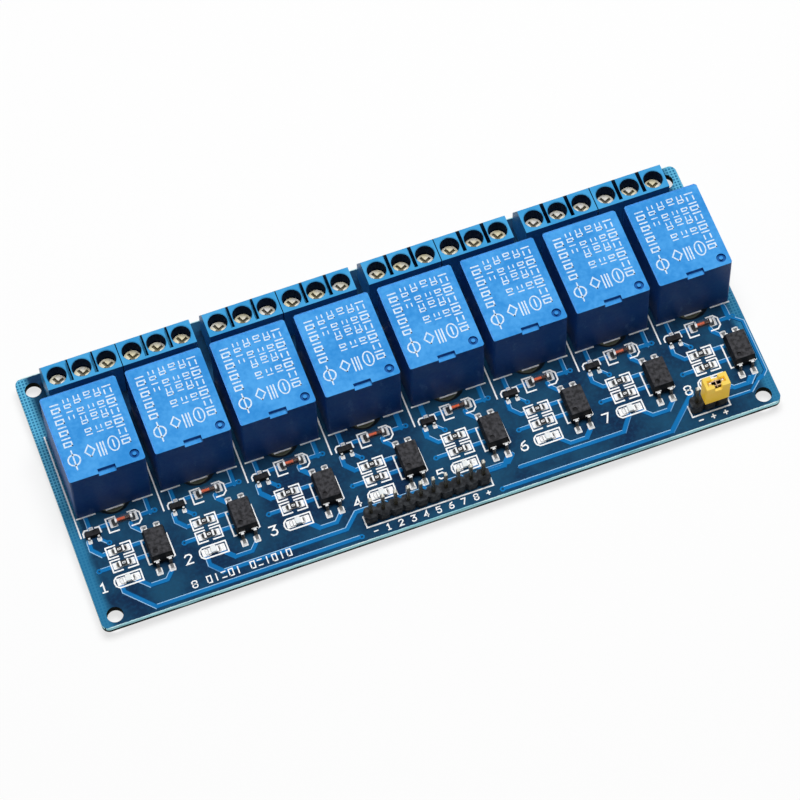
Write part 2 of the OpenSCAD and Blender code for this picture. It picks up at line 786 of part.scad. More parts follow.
// A sleeve over two pins: its rim stands proud for the fingers, and is notched in front and behind
module jumper_cap() {
    inner_w = jumper_w - 2 * jumper_wall;
    inner_d = jumper_d - 2 * jumper_wall;
    color("#f0c419") at_jumper() difference() {
        union() {
            slab(jumper_w, jumper_d, jumper_h);
            translate([0, 0, jumper_h - jumper_rim_h])
                slab(jumper_w, jumper_d + 2 * jumper_rim_lip, jumper_rim_h);
        }
        translate([0, 0, jumper_h - jumper_notch_h]) slab(jumper_notch_w, 2 * jumper_d, jumper_h);
        translate([0, 0, -eps]) slab(inner_w, inner_d, jumper_lip_z + eps);
        slab(inner_w - jumper_wall, inner_d - 1.2 * jumper_wall, jumper_h + eps);
    }
}

// A double spring clip: two leaves grip each pin, joined by a web between the pins
module jumper_clip() {
    inner_d = jumper_d - 2 * jumper_wall;
    leaf_l = header_pitch + header_pin + 0.4;
    leaf_y = header_pin / 2 + fit_gap;
    color("#c9a94e") at_jumper() translate([0, 0, jumper_wall]) linear_extrude(jumper_lip_z - jumper_wall) {
        for (s = [-1, 1]) translate([0, s * (leaf_y + leaf_t / 2)]) square([leaf_l, leaf_t], center = true);
        square([leaf_t, inner_d], center = true);
    }
}

// ---- solder --------------------------------------------------------------------------------

// A cone of solder under the board round a pin of size w by l
module solder_cone(hole_d, w, l) {
    translate([0, 0, -board_t - solder_h]) difference() {
        cylinder(d1 = hole_d + 0.1, d2 = hole_d + 2 * solder_land, h = solder_h);
        translate([0, 0, -eps]) slab(w, l, solder_h + 2 * eps);
    }
}

module solder_joints() {
    color("#c4c7ca") {
        at_relays() {
            at_coil_pins() solder_cone(small_hole_d, coil_pin, coil_pin);
            at_common_pin() solder_cone(blade_hole_d, blade_w, blade_t);
            at_switched_pins() solder_cone(blade_hole_d, blade_t, blade_w);
        }
        at_poles() translate([0, leg_y, 0]) solder_cone(blade_hole_d, blade_w, blade_t);
        at_header_pins(input_header_x, input_pins_n) solder_cone(small_hole_d, header_pin, header_pin);
        at_header_pins(supply_header_x, supply_pins_n) solder_cone(small_hole_d, header_pin, header_pin);
    }
}

// ---- the nodes -----------------------------------------------------------------------------

board();
for (k = [1 : channels]) {
    relay_case(k);
    relay_armature(k);
}
relay_bases();
relay_bobbins();
relay_windings();
relay_cores();
relay_yokes();
relay_switched_contacts();
relay_common_pins();
relay_coil_pins();
for (b = [1 : blocks])
    terminal_block(b);
terminal_screws();
terminal_clamps();
terminal_pins();
optocoupler_bodies();
optocoupler_leads();
resistor_bodies();
resistor_caps();
lamp_bases();
lamp_caps();
lamp_lenses();
diode_glasses();
diode_caps();
diode_cores();
transistor_bodies();
transistor_leads();
input_header();
input_pins();
supply_header();
supply_pins();
jumper_cap();
jumper_clip();
solder_joints();
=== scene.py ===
import math

import bpy
import numpy as np
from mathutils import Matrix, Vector


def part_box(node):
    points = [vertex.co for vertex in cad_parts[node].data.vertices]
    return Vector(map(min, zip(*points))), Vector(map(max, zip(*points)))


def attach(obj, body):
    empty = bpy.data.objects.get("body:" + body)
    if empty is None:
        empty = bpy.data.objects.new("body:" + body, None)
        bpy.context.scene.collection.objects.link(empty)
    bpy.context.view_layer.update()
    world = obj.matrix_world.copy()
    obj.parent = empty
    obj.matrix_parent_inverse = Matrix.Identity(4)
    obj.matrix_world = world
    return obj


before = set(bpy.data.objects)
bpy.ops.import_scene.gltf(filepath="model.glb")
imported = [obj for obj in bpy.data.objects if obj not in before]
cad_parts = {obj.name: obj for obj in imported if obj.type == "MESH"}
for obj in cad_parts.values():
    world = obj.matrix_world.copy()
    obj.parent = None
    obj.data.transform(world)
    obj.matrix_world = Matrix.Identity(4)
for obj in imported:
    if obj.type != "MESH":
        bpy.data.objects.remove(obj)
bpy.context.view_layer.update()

# ---- board -----------------------------------------------------------------------------------
# A sheet of woven glass and epoxy with blue solder mask on both faces. The outline, the holes
# and the slots are routed after the mask is on, so their walls show the pale bare laminate. The
# lower part of the outer edge and the walls of the holes and slots are painted dark as shade, and
# the upper outer edge glows faintly as painted light.


def paint(code):
    """A hex colour as linear light: c / 12.92 below 0.04045, else ((c + 0.055) / 1.055) ** 2.4."""
    c = np.array([int(code[i:i + 2], 16) for i in (1, 3, 5)]) / 255
    return [*np.where(c <= 0.04045, c / 12.92, ((c + 0.055) / 1.055) ** 2.4), 1.0]


class Value:
    """An output in a shader tree. Each operator on it adds one Math node to that tree."""

    def __init__(self, tree, socket):
        self.tree, self.socket = tree, socket

    def math(self, operation, a, b=0.0):
        """Any Math node, on numbers or on other outputs. The operators are its short forms."""
        return self.tree.add("ShaderNodeMath", {"operation": operation}, {0: a, 1: b})

    def __add__(self, b):
        return self.math("ADD", self, b)

    def __sub__(self, b):
        return self.math("SUBTRACT", self, b)

    def __rsub__(self, a):
        return self.math("SUBTRACT", a, self)

    def __mul__(self, b):
        return self.math("MULTIPLY", self, b)

    def __gt__(self, b):
        return self.math("GREATER_THAN", self, b)

    __radd__ = __add__


class Finish:
    """A material made of one shader and the nodes that `add` puts in front of it."""

    def __init__(self, name, **constants):
        self.material = bpy.data.materials.new(name)
        self.material.use_nodes = True
        self.nodes, self.links = self.material.node_tree.nodes, self.material.node_tree.links
        self.nodes.clear()
        self.output = self.nodes.new("ShaderNodeOutputMaterial")
        self.shader = self.nodes.new("ShaderNodeBsdfPrincipled")
        self.links.new(self.shader.outputs[0], self.output.inputs[0])
        self.surface(**constants)
        self.place = self.add("ShaderNodeTexCoord", out="Object")

    def add(self, kind, settings=None, inputs=None, out=0):
        """Any node: its type, then its settings, then what its sockets hold or are linked to."""
        node = self.nodes.new(kind)
        for key, value in (settings or {}).items():
            setattr(node, key, value)
        self.feed(node, inputs or {})
        return Value(self, node.outputs[out])

    def feed(self, node, inputs):
        """Links a socket to each Value, and sets it to anything else."""
        for key, value in inputs.items():
            if isinstance(value, Value):
                self.links.new(value.socket, node.inputs[key])
            else:
                node.inputs[key].default_value = value

    def axis(self, index, source="Object"):
        """One coordinate, in millimetres, of the object's own space, or one of its normal."""
        vector = self.place if source == "Object" else self.add("ShaderNodeTexCoord", out=source)
        part = self.add("ShaderNodeSeparateXYZ", {}, {0: vector}, index)
        return part * 1000 if source == "Object" else part

    def noise(self, size_mm, detail=2.0, stretch=None, roughness=0.5):
        """Soft noise from 0 to 1 whose grains are about size_mm across."""
        place = self.place
        if stretch:
            place = self.add("ShaderNodeVectorMath", {"operation": "MULTIPLY"}, {0: place, 1: stretch})
        return self.add("ShaderNodeTexNoise", {}, {"Vector": place, "Scale": 1000 / size_mm,
                                                   "Detail": detail, "Roughness": roughness})

    def ramp(self, value, low, high, start=0.0, end=1.0):
        """Smoothly from start to end while value goes from low to high."""
        return self.add("ShaderNodeMapRange", {"interpolation_type": "SMOOTHSTEP"},
                        {0: value, 1: low, 2: high, 3: start, 4: end})

    def blend(self, mask, a, b):
        """Colour a where mask is 0 and colour b where it is 1."""
        return self.add("ShaderNodeMix", {"data_type": "RGBA"}, {0: mask, 6: a, 7: b}, 2)

    def bump(self, height, depth_mm, strength):
        """Relief: height from 0 to 1 stands for depth_mm, softened by strength."""
        return self.add("ShaderNodeBump", {}, {"Strength": strength, "Distance": depth_mm / 1000,
                                               "Height": height}, "Normal")

    def surface(self, **inputs):
        """Sets or links the shader's own sockets, named as in base_color or ior."""
        names = {"ior": "IOR", "specular_level": "Specular IOR Level"}
        self.feed(self.shader, {names.get(k, k.replace("_", " ").title()): v for k, v in inputs.items()})


def wave(value, period_mm):
    """From 0 to 1 and back once in each period: (sin(2 pi v / period) + 1) / 2."""
    return value.math("SINE", value * (2 * math.pi / period_mm)) * 0.5 + 0.5


def dress(finish, *nodes):
    """Gives CAD nodes a finish."""
    for node in nodes:
        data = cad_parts[node].data
        data.materials.clear()
        data.materials.append(finish.material)


# How far apart the yarns of the cloth lie along x and y, mm.
YARN_X, YARN_Y = 0.62, 0.5


def weave_of(finish):
    """The glass cloth under the mask: the waves of its two yarns multiplied, and again half a yarn
    further on, where the other yarn of the pair lies on top."""
    x, y = finish.axis(0), finish.axis(1)
    return (wave(x, YARN_X) * wave(y, YARN_Y)
            + wave(x + YARN_X / 2, YARN_X) * wave(y + YARN_Y / 2, YARN_Y))


BOARD_HALF_L, BOARD_HALF_W = (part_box("board")[1][i] * 1000 for i in (0, 1))
mask = Finish("solder_mask_on_laminate", specular_level=0.03, emission_strength=1.0)
cloud = mask.noise(9, 4)
grain = mask.noise(0.7, 3)
tone = mask.blend(mask.ramp(cloud, 0.3, 0.7), paint("#162b49"), paint("#204b69"))
tone = mask.blend(mask.ramp(grain, 0.4, 0.8) * 0.3, tone, paint("#205a80"))
x, y, z = (mask.axis(i) for i in range(3))
to_end = BOARD_HALF_L - x.math("ABSOLUTE", x)
strip = 1 - mask.ramp(to_end + mask.noise(3) * 0.8, 1.6, 3.6)
HATCH_PITCH, HATCH_LEVEL = 0.66, 0.62
hatch = (wave(x, HATCH_PITCH) > HATCH_LEVEL) + (wave(y, HATCH_PITCH) > HATCH_LEVEL)
patchy = mask.ramp(y + mask.noise(5) * 16, -2, 14, 0.1, 0.95)
strip_tone = mask.blend(hatch.math("MINIMUM", hatch, 1.0) * patchy, paint("#28709a"), paint("#62b6da"))
tone = mask.blend(strip, tone, strip_tone)
to_side = BOARD_HALF_W - y.math("ABSOLUTE", y)
bare = 1 - mask.ramp(to_side + grain * 0.2, 0.2, 0.32)
flat = mask.axis(2, "Normal")
edge = 1 - mask.ramp(flat.math("ABSOLUTE", flat), 0.4, 0.6)
layers = mask.noise(1.6, 3, (0.25, 0.25, 9))
raw = mask.blend(mask.ramp(layers, 0.3, 0.7), paint("#8fd0de"), paint("#dcf4f4"))
# The upper part of the laminate edge; below it the edge is painted near black as painted shade.
upper = mask.ramp(z + layers * 0.35 + mask.noise(7) * 0.6, 3.05, 3.25)
outer = 1 - mask.ramp(to_end.math("MINIMUM", to_end, to_side), 0.3, 0.4)
# Painted shade: the walls of holes and slots are painted darker than the outer edge, darkest in the
# mounting holes near the corners.
near_corner = (1 - mask.ramp(to_end, 5, 5.5)) * (1 - mask.ramp(to_side, 5.5, 6))
shaded_inner_wall = mask.blend(near_corner, paint("#6f7466"), paint("#20241f"))
wall = mask.blend(outer, shaded_inner_wall, mask.blend(upper, paint("#14201f"), raw))
# Painted light: the upper part of the outer edge glows a faint pale teal.
painted_edge_light = edge * outer * upper * mask.ramp(layers, 0.2, 0.6)
mask.surface(
    base_color=mask.blend(edge.math("MAXIMUM", edge, bare), tone, wall),
    emission_color=mask.blend(painted_edge_light, (0, 0, 0, 1), paint("#7fb0b8")),
    roughness=mask.ramp(grain, 0.2, 0.9, 0.34, 0.48) + edge * 0.4,
    normal=mask.bump(weave_of(mask) * 0.6 + grain * 0.5 + layers * edge, 0.012, 0.6),
)
dress(mask, "board")

# ---- tracks and pads ---------------------------------------------------------------------------
# Copper strips under the mask, which is brighter and slightly raised over them, and tinned pads
# where the mask is open. On the top they link the driver parts, below they carry the contacts.


def stroke(path, width, low, high, round_ends=False, slope=0.0):
    """A flat bar along a path. Each point moves to both sides by half the width, along the line
    that halves its corner: side = 2 m / |m|^2 with m the sum of the two segments' normals. Its
    top is narrower than its foot by `slope` on each side."""
    path = np.asarray(path, float)
    half = np.full(len(path), width / 2)
    if round_ends:
        turn = np.linspace(0.3, 1.4, 4)
        first, last = path[0] - path[1], path[-1] - path[-2]
        first, last = first / np.linalg.norm(first), last / np.linalg.norm(last)
        reach = np.sin(turn)[:, None] * width / 2
        path = np.vstack([(path[0] + reach * first)[::-1], path, path[-1] + reach * last])
        round_half = np.cos(turn) * width / 2
        half = np.concatenate([round_half[::-1], half, round_half])
    step = np.diff(path, axis=0)
    step /= np.linalg.norm(step, axis=1, keepdims=True)
    side = np.column_stack([-step[:, 1], step[:, 0]])
    m = np.vstack([side[:1], side]) + np.vstack([side, side[-1:]])
    out = 2 * m / (m ** 2).sum(1, keepdims=True) * half[:, None]
    top = out * np.maximum(1 - slope / half, 0.1)[:, None]
    rails = [np.column_stack([p, np.full(len(path), z)])
             for p, z in ((path + top, high), (path - top, high), (path - out, low), (path + out, low))]
    return tube(np.stack(rails, axis=1))


def tube(rings, closed=False):
    """Skin over rings of points (ring, point, xyz): one face for each pair of neighbouring points
    on neighbouring rings, and an end face at each end unless the rings close on themselves."""
    n, m = rings.shape[:2]
    i, j = np.meshgrid(np.arange(n if closed else n - 1), np.arange(m), indexing="ij")
    i, j = i.ravel(), j.ravel()
    near, far = i * m, (i + 1) % n * m
    right = (j + 1) % m
    faces = np.column_stack([near + j, near + right, far + right, far + j]).tolist()
    if not closed:
        faces += [list(range(m))[::-1], list(range((n - 1) * m, n * m))]
    return rings.reshape(-1, 3), faces


def plate(width, length, low, high, corner):
    """A flat pad: a rectangle whose corners are cut by `corner`, between two heights."""
    w, l, c = width / 2, length / 2, corner
    outline = np.array([[w, l - c], [w - c, l], [c - w, l], [-w, l - c],
                        [-w, c - l], [c - w, -l], [w - c, -l], [w, c - l]])
    return tube(np.stack([np.column_stack([outline, np.full(8, z)]) for z in (low, high)]))


def washer(inner, outer, low, high, sides=24):
    """A flat ring: the rectangle (radius, height) carried round the z axis."""
    turn = np.linspace(0, 2 * math.pi, sides, endpoint=False)[:, None]
    radius = np.array([outer, outer, inner, inner])
    height = np.array([low, high, high, low])
    rings = np.stack([radius * np.cos(turn), radius * np.sin(turn), height + 0 * turn], axis=-1)
    return tube(rings[::-1], closed=True)


def repeat(shape, places):
    """Copies of a shape: (x, y, z, turn) for each copy, turned about z and then moved."""
    verts, faces = shape
    places = np.array([list(p) + [0.0] * (4 - len(p)) for p in places])
    c, s = np.cos(places[:, 3:]), np.sin(places[:, 3:])
    x, y, z = verts[:, 0], verts[:, 1], verts[:, 2]
    copies = np.stack([x * c - y * s + places[:, :1], x * s + y * c + places[:, 1:2],
                       z + places[:, 2:3]], axis=-1)
    shifted = [[v + k * len(verts) for v in face] for k in range(len(places)) for face in faces]
    return copies.reshape(-1, 3), shifted


# How much higher each of several crossing shapes lies than the last, mm.
CROSSING_RISE = 0.0015


def join(shapes, rise=0.0):
    """Several shapes as one. Each lies `rise` higher than the last, over seven steps, so that
    flat tops that cross don't share a plane."""
    shapes = [(v + (0, 0, rise * (k % 7)), fs) for k, (v, fs) in enumerate(shapes)]
    starts = np.cumsum([0] + [len(v) for v, _ in shapes])
    faces = [[v + start for v in face] for start, (_, fs) in zip(starts, shapes) for face in fs]
    return np.vstack([v for v, _ in shapes]), faces


def piece(name, shape, finish, body="board_assembly", smooth=False):
    """A shape in millimetres as a piece of the part, with its finish and body."""
    verts, faces = shape
    data = bpy.data.meshes.new(name)
    data.from_pydata((verts / 1000).tolist(), [], faces)
    data.polygons.foreach_set("use_smooth", [smooth] * len(faces))
    data.materials.append(finish.material)
    made = bpy.data.objects.new(name, data)
    bpy.context.scene.collection.objects.link(made)
    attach(made, body)


def box_mm(node):
    """A CAD node's lowest and highest corners, in millimetres."""
    return [np.array(corner) * 1000 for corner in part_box(node)]


CHANNELS = range(1, 9)
CASES = [box_mm(f"relay_case_{k}") for k in CHANNELS]
CENTRE_X = [(low[0] + high[0]) / 2 for low, high in CASES]
FRONT_Y, BACK_Y = CASES[0][0][1], CASES[0][1][1]
BOARD_LOW, BOARD_HIGH = box_mm("board")
TOP_Z, UNDER_Z = BOARD_HIGH[2], BOARD_LOW[2]
HEADER_X, HEADER_Y = (sum(corner[i] for corner in box_mm("input_header")) / 2 for i in (0, 1))
SUPPLY_X = sum(corner[0] for corner in box_mm("supply_header")) / 2
PIN_PITCH = 2.54
TRACK_W = 1.15
TRACK_SLOPE = 0.22

copper = Finish("mask_over_copper", specular_level=0.05)
speck = copper.noise(0.5, 3)
# Painted highlight and painted shade on the tracks' sloped sides: slopes facing outwards from the
# board's middle and towards the back are painted pale, the others dark.
facing_light = copper.axis(0, "Normal") * copper.axis(0) * (1 / 60) + copper.axis(1, "Normal") * 0.5
tone = copper.blend(copper.noise(5, 3), paint("#1062a2"), paint("#1d7fc0"))
tone = copper.blend(copper.ramp(facing_light, 0.03, 0.1) * 0.75, tone, paint("#b4dcfb"))
tone = copper.blend((1 - copper.ramp(facing_light, -0.1, -0.03)) * 0.75, tone, paint("#0b2a4c"))
copper.surface(
    base_color=tone,
    roughness=copper.ramp(speck, 0.2, 0.9, 0.26, 0.42),
    normal=copper.bump(weave_of(copper) * 0.4 + speck, 0.01, 0.6),
)


def top_track(path, width):
    """A track on the upper face: a stroke that stands 0.035 mm above the board."""
    return stroke(path, width, TOP_Z - 0.02, TOP_Z + 0.035, True, TRACK_SLOPE)


# Rows of small parts, measured from the line of the relays' fronts, and a channel's own tracks,
# measured from there and from the middle of its relay.
DIODE_ROW, RESISTOR_ROW_1, RESISTOR_ROW_2, LAMP_ROW = -3.3, -9.1, -12.1, -15.5
channel_tracks = [
    ([(-6, 4.35), (-5.95, -3.2)], TRACK_W), ([(6, 4.35), (5.95, -3.6)], TRACK_W),
    ([(4.5, -3.5), (6.9, -3.5)], TRACK_W), ([(-3.9, -3.3), (-2.2, -3.3)], TRACK_W),
    ([(-6.95, -5.6), (-7.0, -7.3), (-5.4, -9.1), (-3.4, -9.1)], TRACK_W),
    ([(-4.8, -5.5), (-3.3, -7.0)], 0.9), ([(-0.8, -9.1), (2.9, -9.1)], TRACK_W),
    ([(-0.8, -12.1), (2.9, -12.1)], TRACK_W), ([(-3.4, -12.1), (-7.0, -12.1)], TRACK_W),
    ([(1.8, -4.6), (1.9, -5.3), (3.4, -6.9)], TRACK_W),
    ([(-0.9, -16.0), (1.3, -18.25), (4.6, -18.25), (6.1, -16.6)], TRACK_W),
]
tracks = [top_track(np.array(path) + (x, FRONT_Y), width)
          for x in CENTRE_X for path, width in channel_tracks]


def from_front(dy):
    """The y that lies dy behind the line of the relays' fronts, or before it if dy is negative."""
    return FRONT_Y + dy


# The long tracks along the front. The foremost dives under the header from DIVE to RISE.
FRONT_LANE = -27.1
DIVE, RISE = (-17.0, FRONT_LANE), (11.6, FRONT_LANE)
lamp_y = from_front(-16.3)
bus_paths = [
    [(CENTRE_X[0] - 3.85, lamp_y), (CENTRE_X[0] - 3.85, -22.0), (-58.1, FRONT_LANE), DIVE],
    [RISE, (46.5, FRONT_LANE), (52.9, -20.9)],
    [(CENTRE_X[1] - 3.85, lamp_y), (CENTRE_X[1] - 3.85, -22.5), (-43.9, -24.65), (-19.1, -24.65),
     (-16.3, -21.85), (-10.4, -21.85)],
    [(CENTRE_X[6] - 3.0, lamp_y), (CENTRE_X[6] - 3.0, -20.9), (37.8, -23.9), (16.5, -23.9)],
    [(8.5, -22.15), (14.6, -22.15), (15.9, -20.8)], [(-7.4, -21.85), (-2.4, -21.85)],
    [(2.7, -21.85), (5.0, -21.85)],
]
tracks += [top_track(path, TRACK_W) for path in bus_paths]
corner_paths = [
    [(60.3, -22.35), (64.0, -22.35), (64.9, -21.4)],
    [(58.9, -24.35), (64.1, -24.35), (66.2, -22.5), (67.5, -21.9), (68.35, -21.0), (68.35, -9.5),
     (66.3, -7.7), (66.2, -5.2)],
]
tracks += [top_track(path, 0.9) for path in corner_paths]
piece("tracks_top", join(tracks, CROSSING_RISE), copper)

# Below the board: wide tracks from the contacts to the terminals, and the drivers' thin ones.
WAY_PITCH, WAY_INSET = 5, 0.85
terminal_x = [[sum(corner[0] for corner in box_mm(f"terminal_block_{b}")) / 2 + WAY_PITCH * p
               for p in (-1, 0, 1)] for b in CHANNELS]
terminal_y = box_mm("terminal_block_1")[0][1] + WAY_INSET
relay_mid_y = (FRONT_Y + BACK_Y) / 2
common_y, coil_y, switched_y = relay_mid_y - 7.1, relay_mid_y - 5.1, relay_mid_y + 7.1
PIN_SIDE = 6
COIL_LANE, GROUND_LANE, DRIVE_LANE = -7.9, -18.6, -20.6
GROUND_VIA, DRIVE_VIA, COIL_VIA = (-3.3, -7.0), (-7.0, -12.1), (6.9, -3.5)
under_tracks = []
for x, (left, middle, right) in zip(CENTRE_X, terminal_x):
    ground_x, drive_x = x + GROUND_VIA[0], x + DRIVE_VIA[0]
    under_tracks += [
        ([(x, common_y), (x, 13.6), (middle, 17.0), (middle, terminal_y)], 2.6),
        ([(x - PIN_SIDE, switched_y), (x - PIN_SIDE, 14.6), (left, 17.4), (left, terminal_y)], 2.2),
        ([(x + PIN_SIDE, switched_y), (x + PIN_SIDE, 14.6), (right, 17.4), (right, terminal_y)], 2.2),
        ([(x + PIN_SIDE, coil_y), (x + PIN_SIDE, COIL_LANE)], 0.8),
        ([(ground_x, from_front(GROUND_VIA[1])), (ground_x, GROUND_LANE)], 0.8),
        ([(drive_x, from_front(DRIVE_VIA[1])), (drive_x, -18.8), (ground_x, DRIVE_LANE)], 0.6),
    ]
under_tracks += [([(-62.0, COIL_LANE), (66.0, COIL_LANE)], 1.6),
                 ([(-62.3, GROUND_LANE), (56.7, GROUND_LANE)], 1.2), ([DIVE, RISE], 1.05)]
for i, x in enumerate(CENTRE_X):
    start_x, pin_x = x + GROUND_VIA[0], HEADER_X + (i - 3.5) * PIN_PITCH
    lane = DRIVE_LANE - 0.35 * min(i, 7 - i)
    path = [(start_x, DRIVE_LANE), (start_x, lane - 0.01), (pin_x, lane), (pin_x, HEADER_Y)]
    under_tracks.append((path, 0.4))
piece("tracks_under", join([stroke(path, width, UNDER_Z - 0.045, UNDER_Z + 0.02, True)
                            for path, width in under_tracks], CROSSING_RISE), copper)

tin = Finish("tinned_copper", metallic=0.25)
frost = tin.noise(0.25, 4)
patina = tin.noise(1.6, 3)
tin.surface(
    base_color=tin.blend(tin.ramp(patina, 0.4, 0.7), paint("#ffffff"), paint("#eceeef")),
    roughness=tin.ramp(frost, 0.3, 0.8, 0.22, 0.42),
    normal=tin.bump(frost * 0.7 + patina, 0.02, 0.5),
)
TEN_WAY, THREE_WAY = 10, 3
header_pins = ([(HEADER_X + (i - 4.5) * PIN_PITCH, HEADER_Y) for i in range(TEN_WAY)]
               + [(SUPPLY_X + (i - 1) * PIN_PITCH, HEADER_Y) for i in range(THREE_WAY)])
blades = ((0, common_y), (-PIN_SIDE, switched_y), (PIN_SIDE, switched_y))
blade_pins = ([(x + dx, y) for x in CENTRE_X for dx, y in blades]
              + [(x, terminal_y) for way in terminal_x for x in way])
coil_pins = [(x + dx, coil_y) for x in CENTRE_X for dx in (-PIN_SIDE, PIN_SIDE)]
small_pad = washer(0.5, 1.0, -0.02, 0.045)
places = [(repeat(small_pad, [(x, y, z) for x, y in header_pins + coil_pins]),
           repeat(washer(0.675, outer, -0.02, 0.045), [(x, y, z) for x, y in blade_pins]))
          for z, outer in ((TOP_Z, 0.84), (UNDER_Z - 0.025, 1.25))]
piece("pads_for_pins", join([shape for pair in places for shape in pair]), tin)

# Vias, each a small ring that a disc of mask closes, on both faces.
via = washer(0.2, 0.55, -0.02, 0.05, 16)
plug = plate(0.44, 0.44, -0.02, 0.056, 0.13)
vias = [(x + dx, FRONT_Y + dy) for x in CENTRE_X for dx, dy in (GROUND_VIA, DRIVE_VIA, COIL_VIA)]
vias += [DIVE, RISE]
for name, shape, finish, drop in (("vias", via, copper, 0.03), ("via_plugs", plug, mask, 0.036)):
    piece(name, join([repeat(shape, [(x, y, z) for x, y in vias]) for z in (TOP_Z, UNDER_Z - drop)]),
          finish)

# Pads for the small parts on the face: (dx, dy, width, length) in each channel.
chip_pads = [(-3.4, RESISTOR_ROW_1, 1.7, 1.4), (-0.68, RESISTOR_ROW_1, 1.6, 1.4),
             (-3.4, RESISTOR_ROW_2, 1.7, 1.4), (-0.68, RESISTOR_ROW_2, 1.6, 1.4),
             (-3.75, LAMP_ROW, 1.7, 1.55), (-0.8, LAMP_ROW, 1.7, 1.55),
             (-1.35, DIODE_ROW, 1.5, 1.9), (2.75, DIODE_ROW, 1.5, 1.9),
             (3.72, -16.15, 1.25, 1.5), (6.26, -16.15, 1.25, 1.5),
             (3.72, -6.65, 1.25, 1.4), (6.26, -6.65, 1.25, 1.4),
             (-6.7, -5.65, 0.85, 0.9), (-4.8, -5.65, 0.85, 0.9), (-5.75, -3.1, 0.85, 0.9)]
pads = [repeat(plate(w, l, -0.02, 0.05, 0.12), [(x + dx, FRONT_Y + dy, TOP_Z) for x in CENTRE_X])
        for dx, dy, w, l in chip_pads]
piece("pads_for_small_parts", join(pads), tin)

# ---- white print -------------------------------------------------------------------------------
# Epoxy ink screened over the mask: outlines round the parts, a number for each channel, and the
# numbers and signs of the header pins.
LINE = 0.3
INK_LOW, INK_HIGH = TOP_Z - 0.01, TOP_Z + 0.055

SIGNS = {
    "bar": [[(2, 0), (2, 6)]],
    "box": [[(0.3, 0), (0.3, 6), (3.7, 6), (3.7, 0), (0.3, 0)]],
    "pair": [[(0.3, 0.5), (3.7, 0.5)], [(0.3, 5.5), (3.7, 5.5)]],
    "1": [[(0.8, 4.8), (2.2, 6), (2.2, 0)], [(0.8, 0), (3.6, 0)]],
    "2": [[(0, 5), (1, 6), (3, 6), (4, 5), (4, 4), (0, 0), (4, 0)]],
    "3": [[(0, 6), (4, 6), (1.9, 3.6), (3, 3.6), (4, 2.6), (4, 1), (3, 0), (1, 0), (0, 1)]],
    "4": [[(3, 0), (3, 6), (0, 1.8), (4, 1.8)]],
    "5": [[(4, 6), (0.3, 6), (0, 3.5), (3, 3.8), (4, 2.8), (4, 1), (3, 0), (1, 0), (0, 1)]],
    "6": [[(3.6, 6), (1.4, 5), (0, 2.6), (0, 1), (1, 0), (3, 0), (4, 1), (4, 2.4), (3, 3.4),
           (0.2, 2.8)]],
    "7": [[(0, 6), (4, 6), (1.4, 0)]],
    "8": [[(1, 3.2), (0, 4.2), (0, 5.2), (1, 6), (3, 6), (4, 5.2), (4, 4.2), (3, 3.2), (1, 3.2),
           (0, 2.2), (0, 1), (1, 0), (3, 0), (4, 1), (4, 2.2), (3, 3.2)]],
    "-": [[(0.2, 3), (3.8, 3)]],
    "+": [[(0.2, 3), (3.8, 3)], [(2, 1.2), (2, 4.8)]],
}


def sign(mark, x, y, height, width=LINE, turn=0.0, low=INK_LOW, high=INK_HIGH):
    """A number or sign drawn with strokes on a grid 4 wide and 6 high: each point, less the
    grid's middle (2, 3), times height / 6, turned by `turn` and moved to (x, y)."""
    c, s = math.cos(turn), math.sin(turn)
    shapes = []
    for line in SIGNS[mark]:
        p = (np.array(line, float) - (2, 3)) * height / 6
        shapes.append(stroke(np.column_stack([p[:, 0] * c - p[:, 1] * s + x,
                                              p[:, 0] * s + p[:, 1] * c + y]), width, low, high, True))
    return join(shapes, CROSSING_RISE)


ink = Finish("white_print")
wear = ink.noise(0.35, 3)
ink.surface(
    base_color=ink.blend(ink.ramp(wear, 0.25, 0.5), paint("#dfe7ec"), paint("#ffffff")),
    roughness=ink.ramp(wear, 0.2, 0.8, 0.5, 0.7),
    normal=ink.bump(wear, 0.01, 0.5),
)
# A channel's outlines, measured from the middle of its relay's front.
channel_lines = [
    [(-7.8, -0.22), (-3.9, -0.22)], [(-1.85, -0.22), (1.65, -0.22)], [(3.5, -0.22), (7.6, -0.22)],
    [(-2.5, -7.9), (-4.5, -7.9), (-4.5, -10.3), (-2.5, -10.3)],
    [(-1.65, -7.9), (0.4, -7.9), (0.4, -10.3), (-1.65, -10.3)],
    [(-2.5, -10.9), (-4.5, -10.9), (-4.5, -13.3), (-2.5, -13.3)],
    [(-1.65, -10.9), (0.4, -10.9), (0.4, -13.3), (-1.65, -13.3)],
    [(-4.3, -14.3), (0.4, -14.3), (0.4, -16.7), (-4.3, -16.7), (-4.9, -16.2), (-5.05, -15.5),
     (-4.9, -14.8), (-4.3, -14.3)],
    [(-0.6, -2.05), (-2.6, -2.05), (-2.6, -5.1), (-0.6, -5.1)],
    [(1.75, -2.05), (3.3, -2.05), (4.0, -2.8), (4.0, -4.4), (3.3, -5.1), (1.75, -5.1)],
    [(-6.3, -3.05), (-7.1, -3.05), (-7.5, -3.5), (-7.5, -4.4)],
    [(-5.1, -3.05), (-4.15, -3.05), (-4.05, -4.4)],
    [(2.9, -8.8), (2.35, -8.8), (2.35, -14.1), (3.0, -14.1)],
    [(7.45, -8.8), (7.55, -13.9), (7.1, -14.1)],
]


def ink_line(path):
    """A printed line on the board: a stroke of the print's usual width."""
    return stroke(path, LINE, INK_LOW, INK_HIGH)


print_lines = []
for k, x in zip(CHANNELS, CENTRE_X):
    print_lines += [ink_line(np.array(path) + (x, FRONT_Y)) for path in channel_lines]
    print_lines.append(sign(str(k), x - 7.3, from_front(-15.65), 1.9))
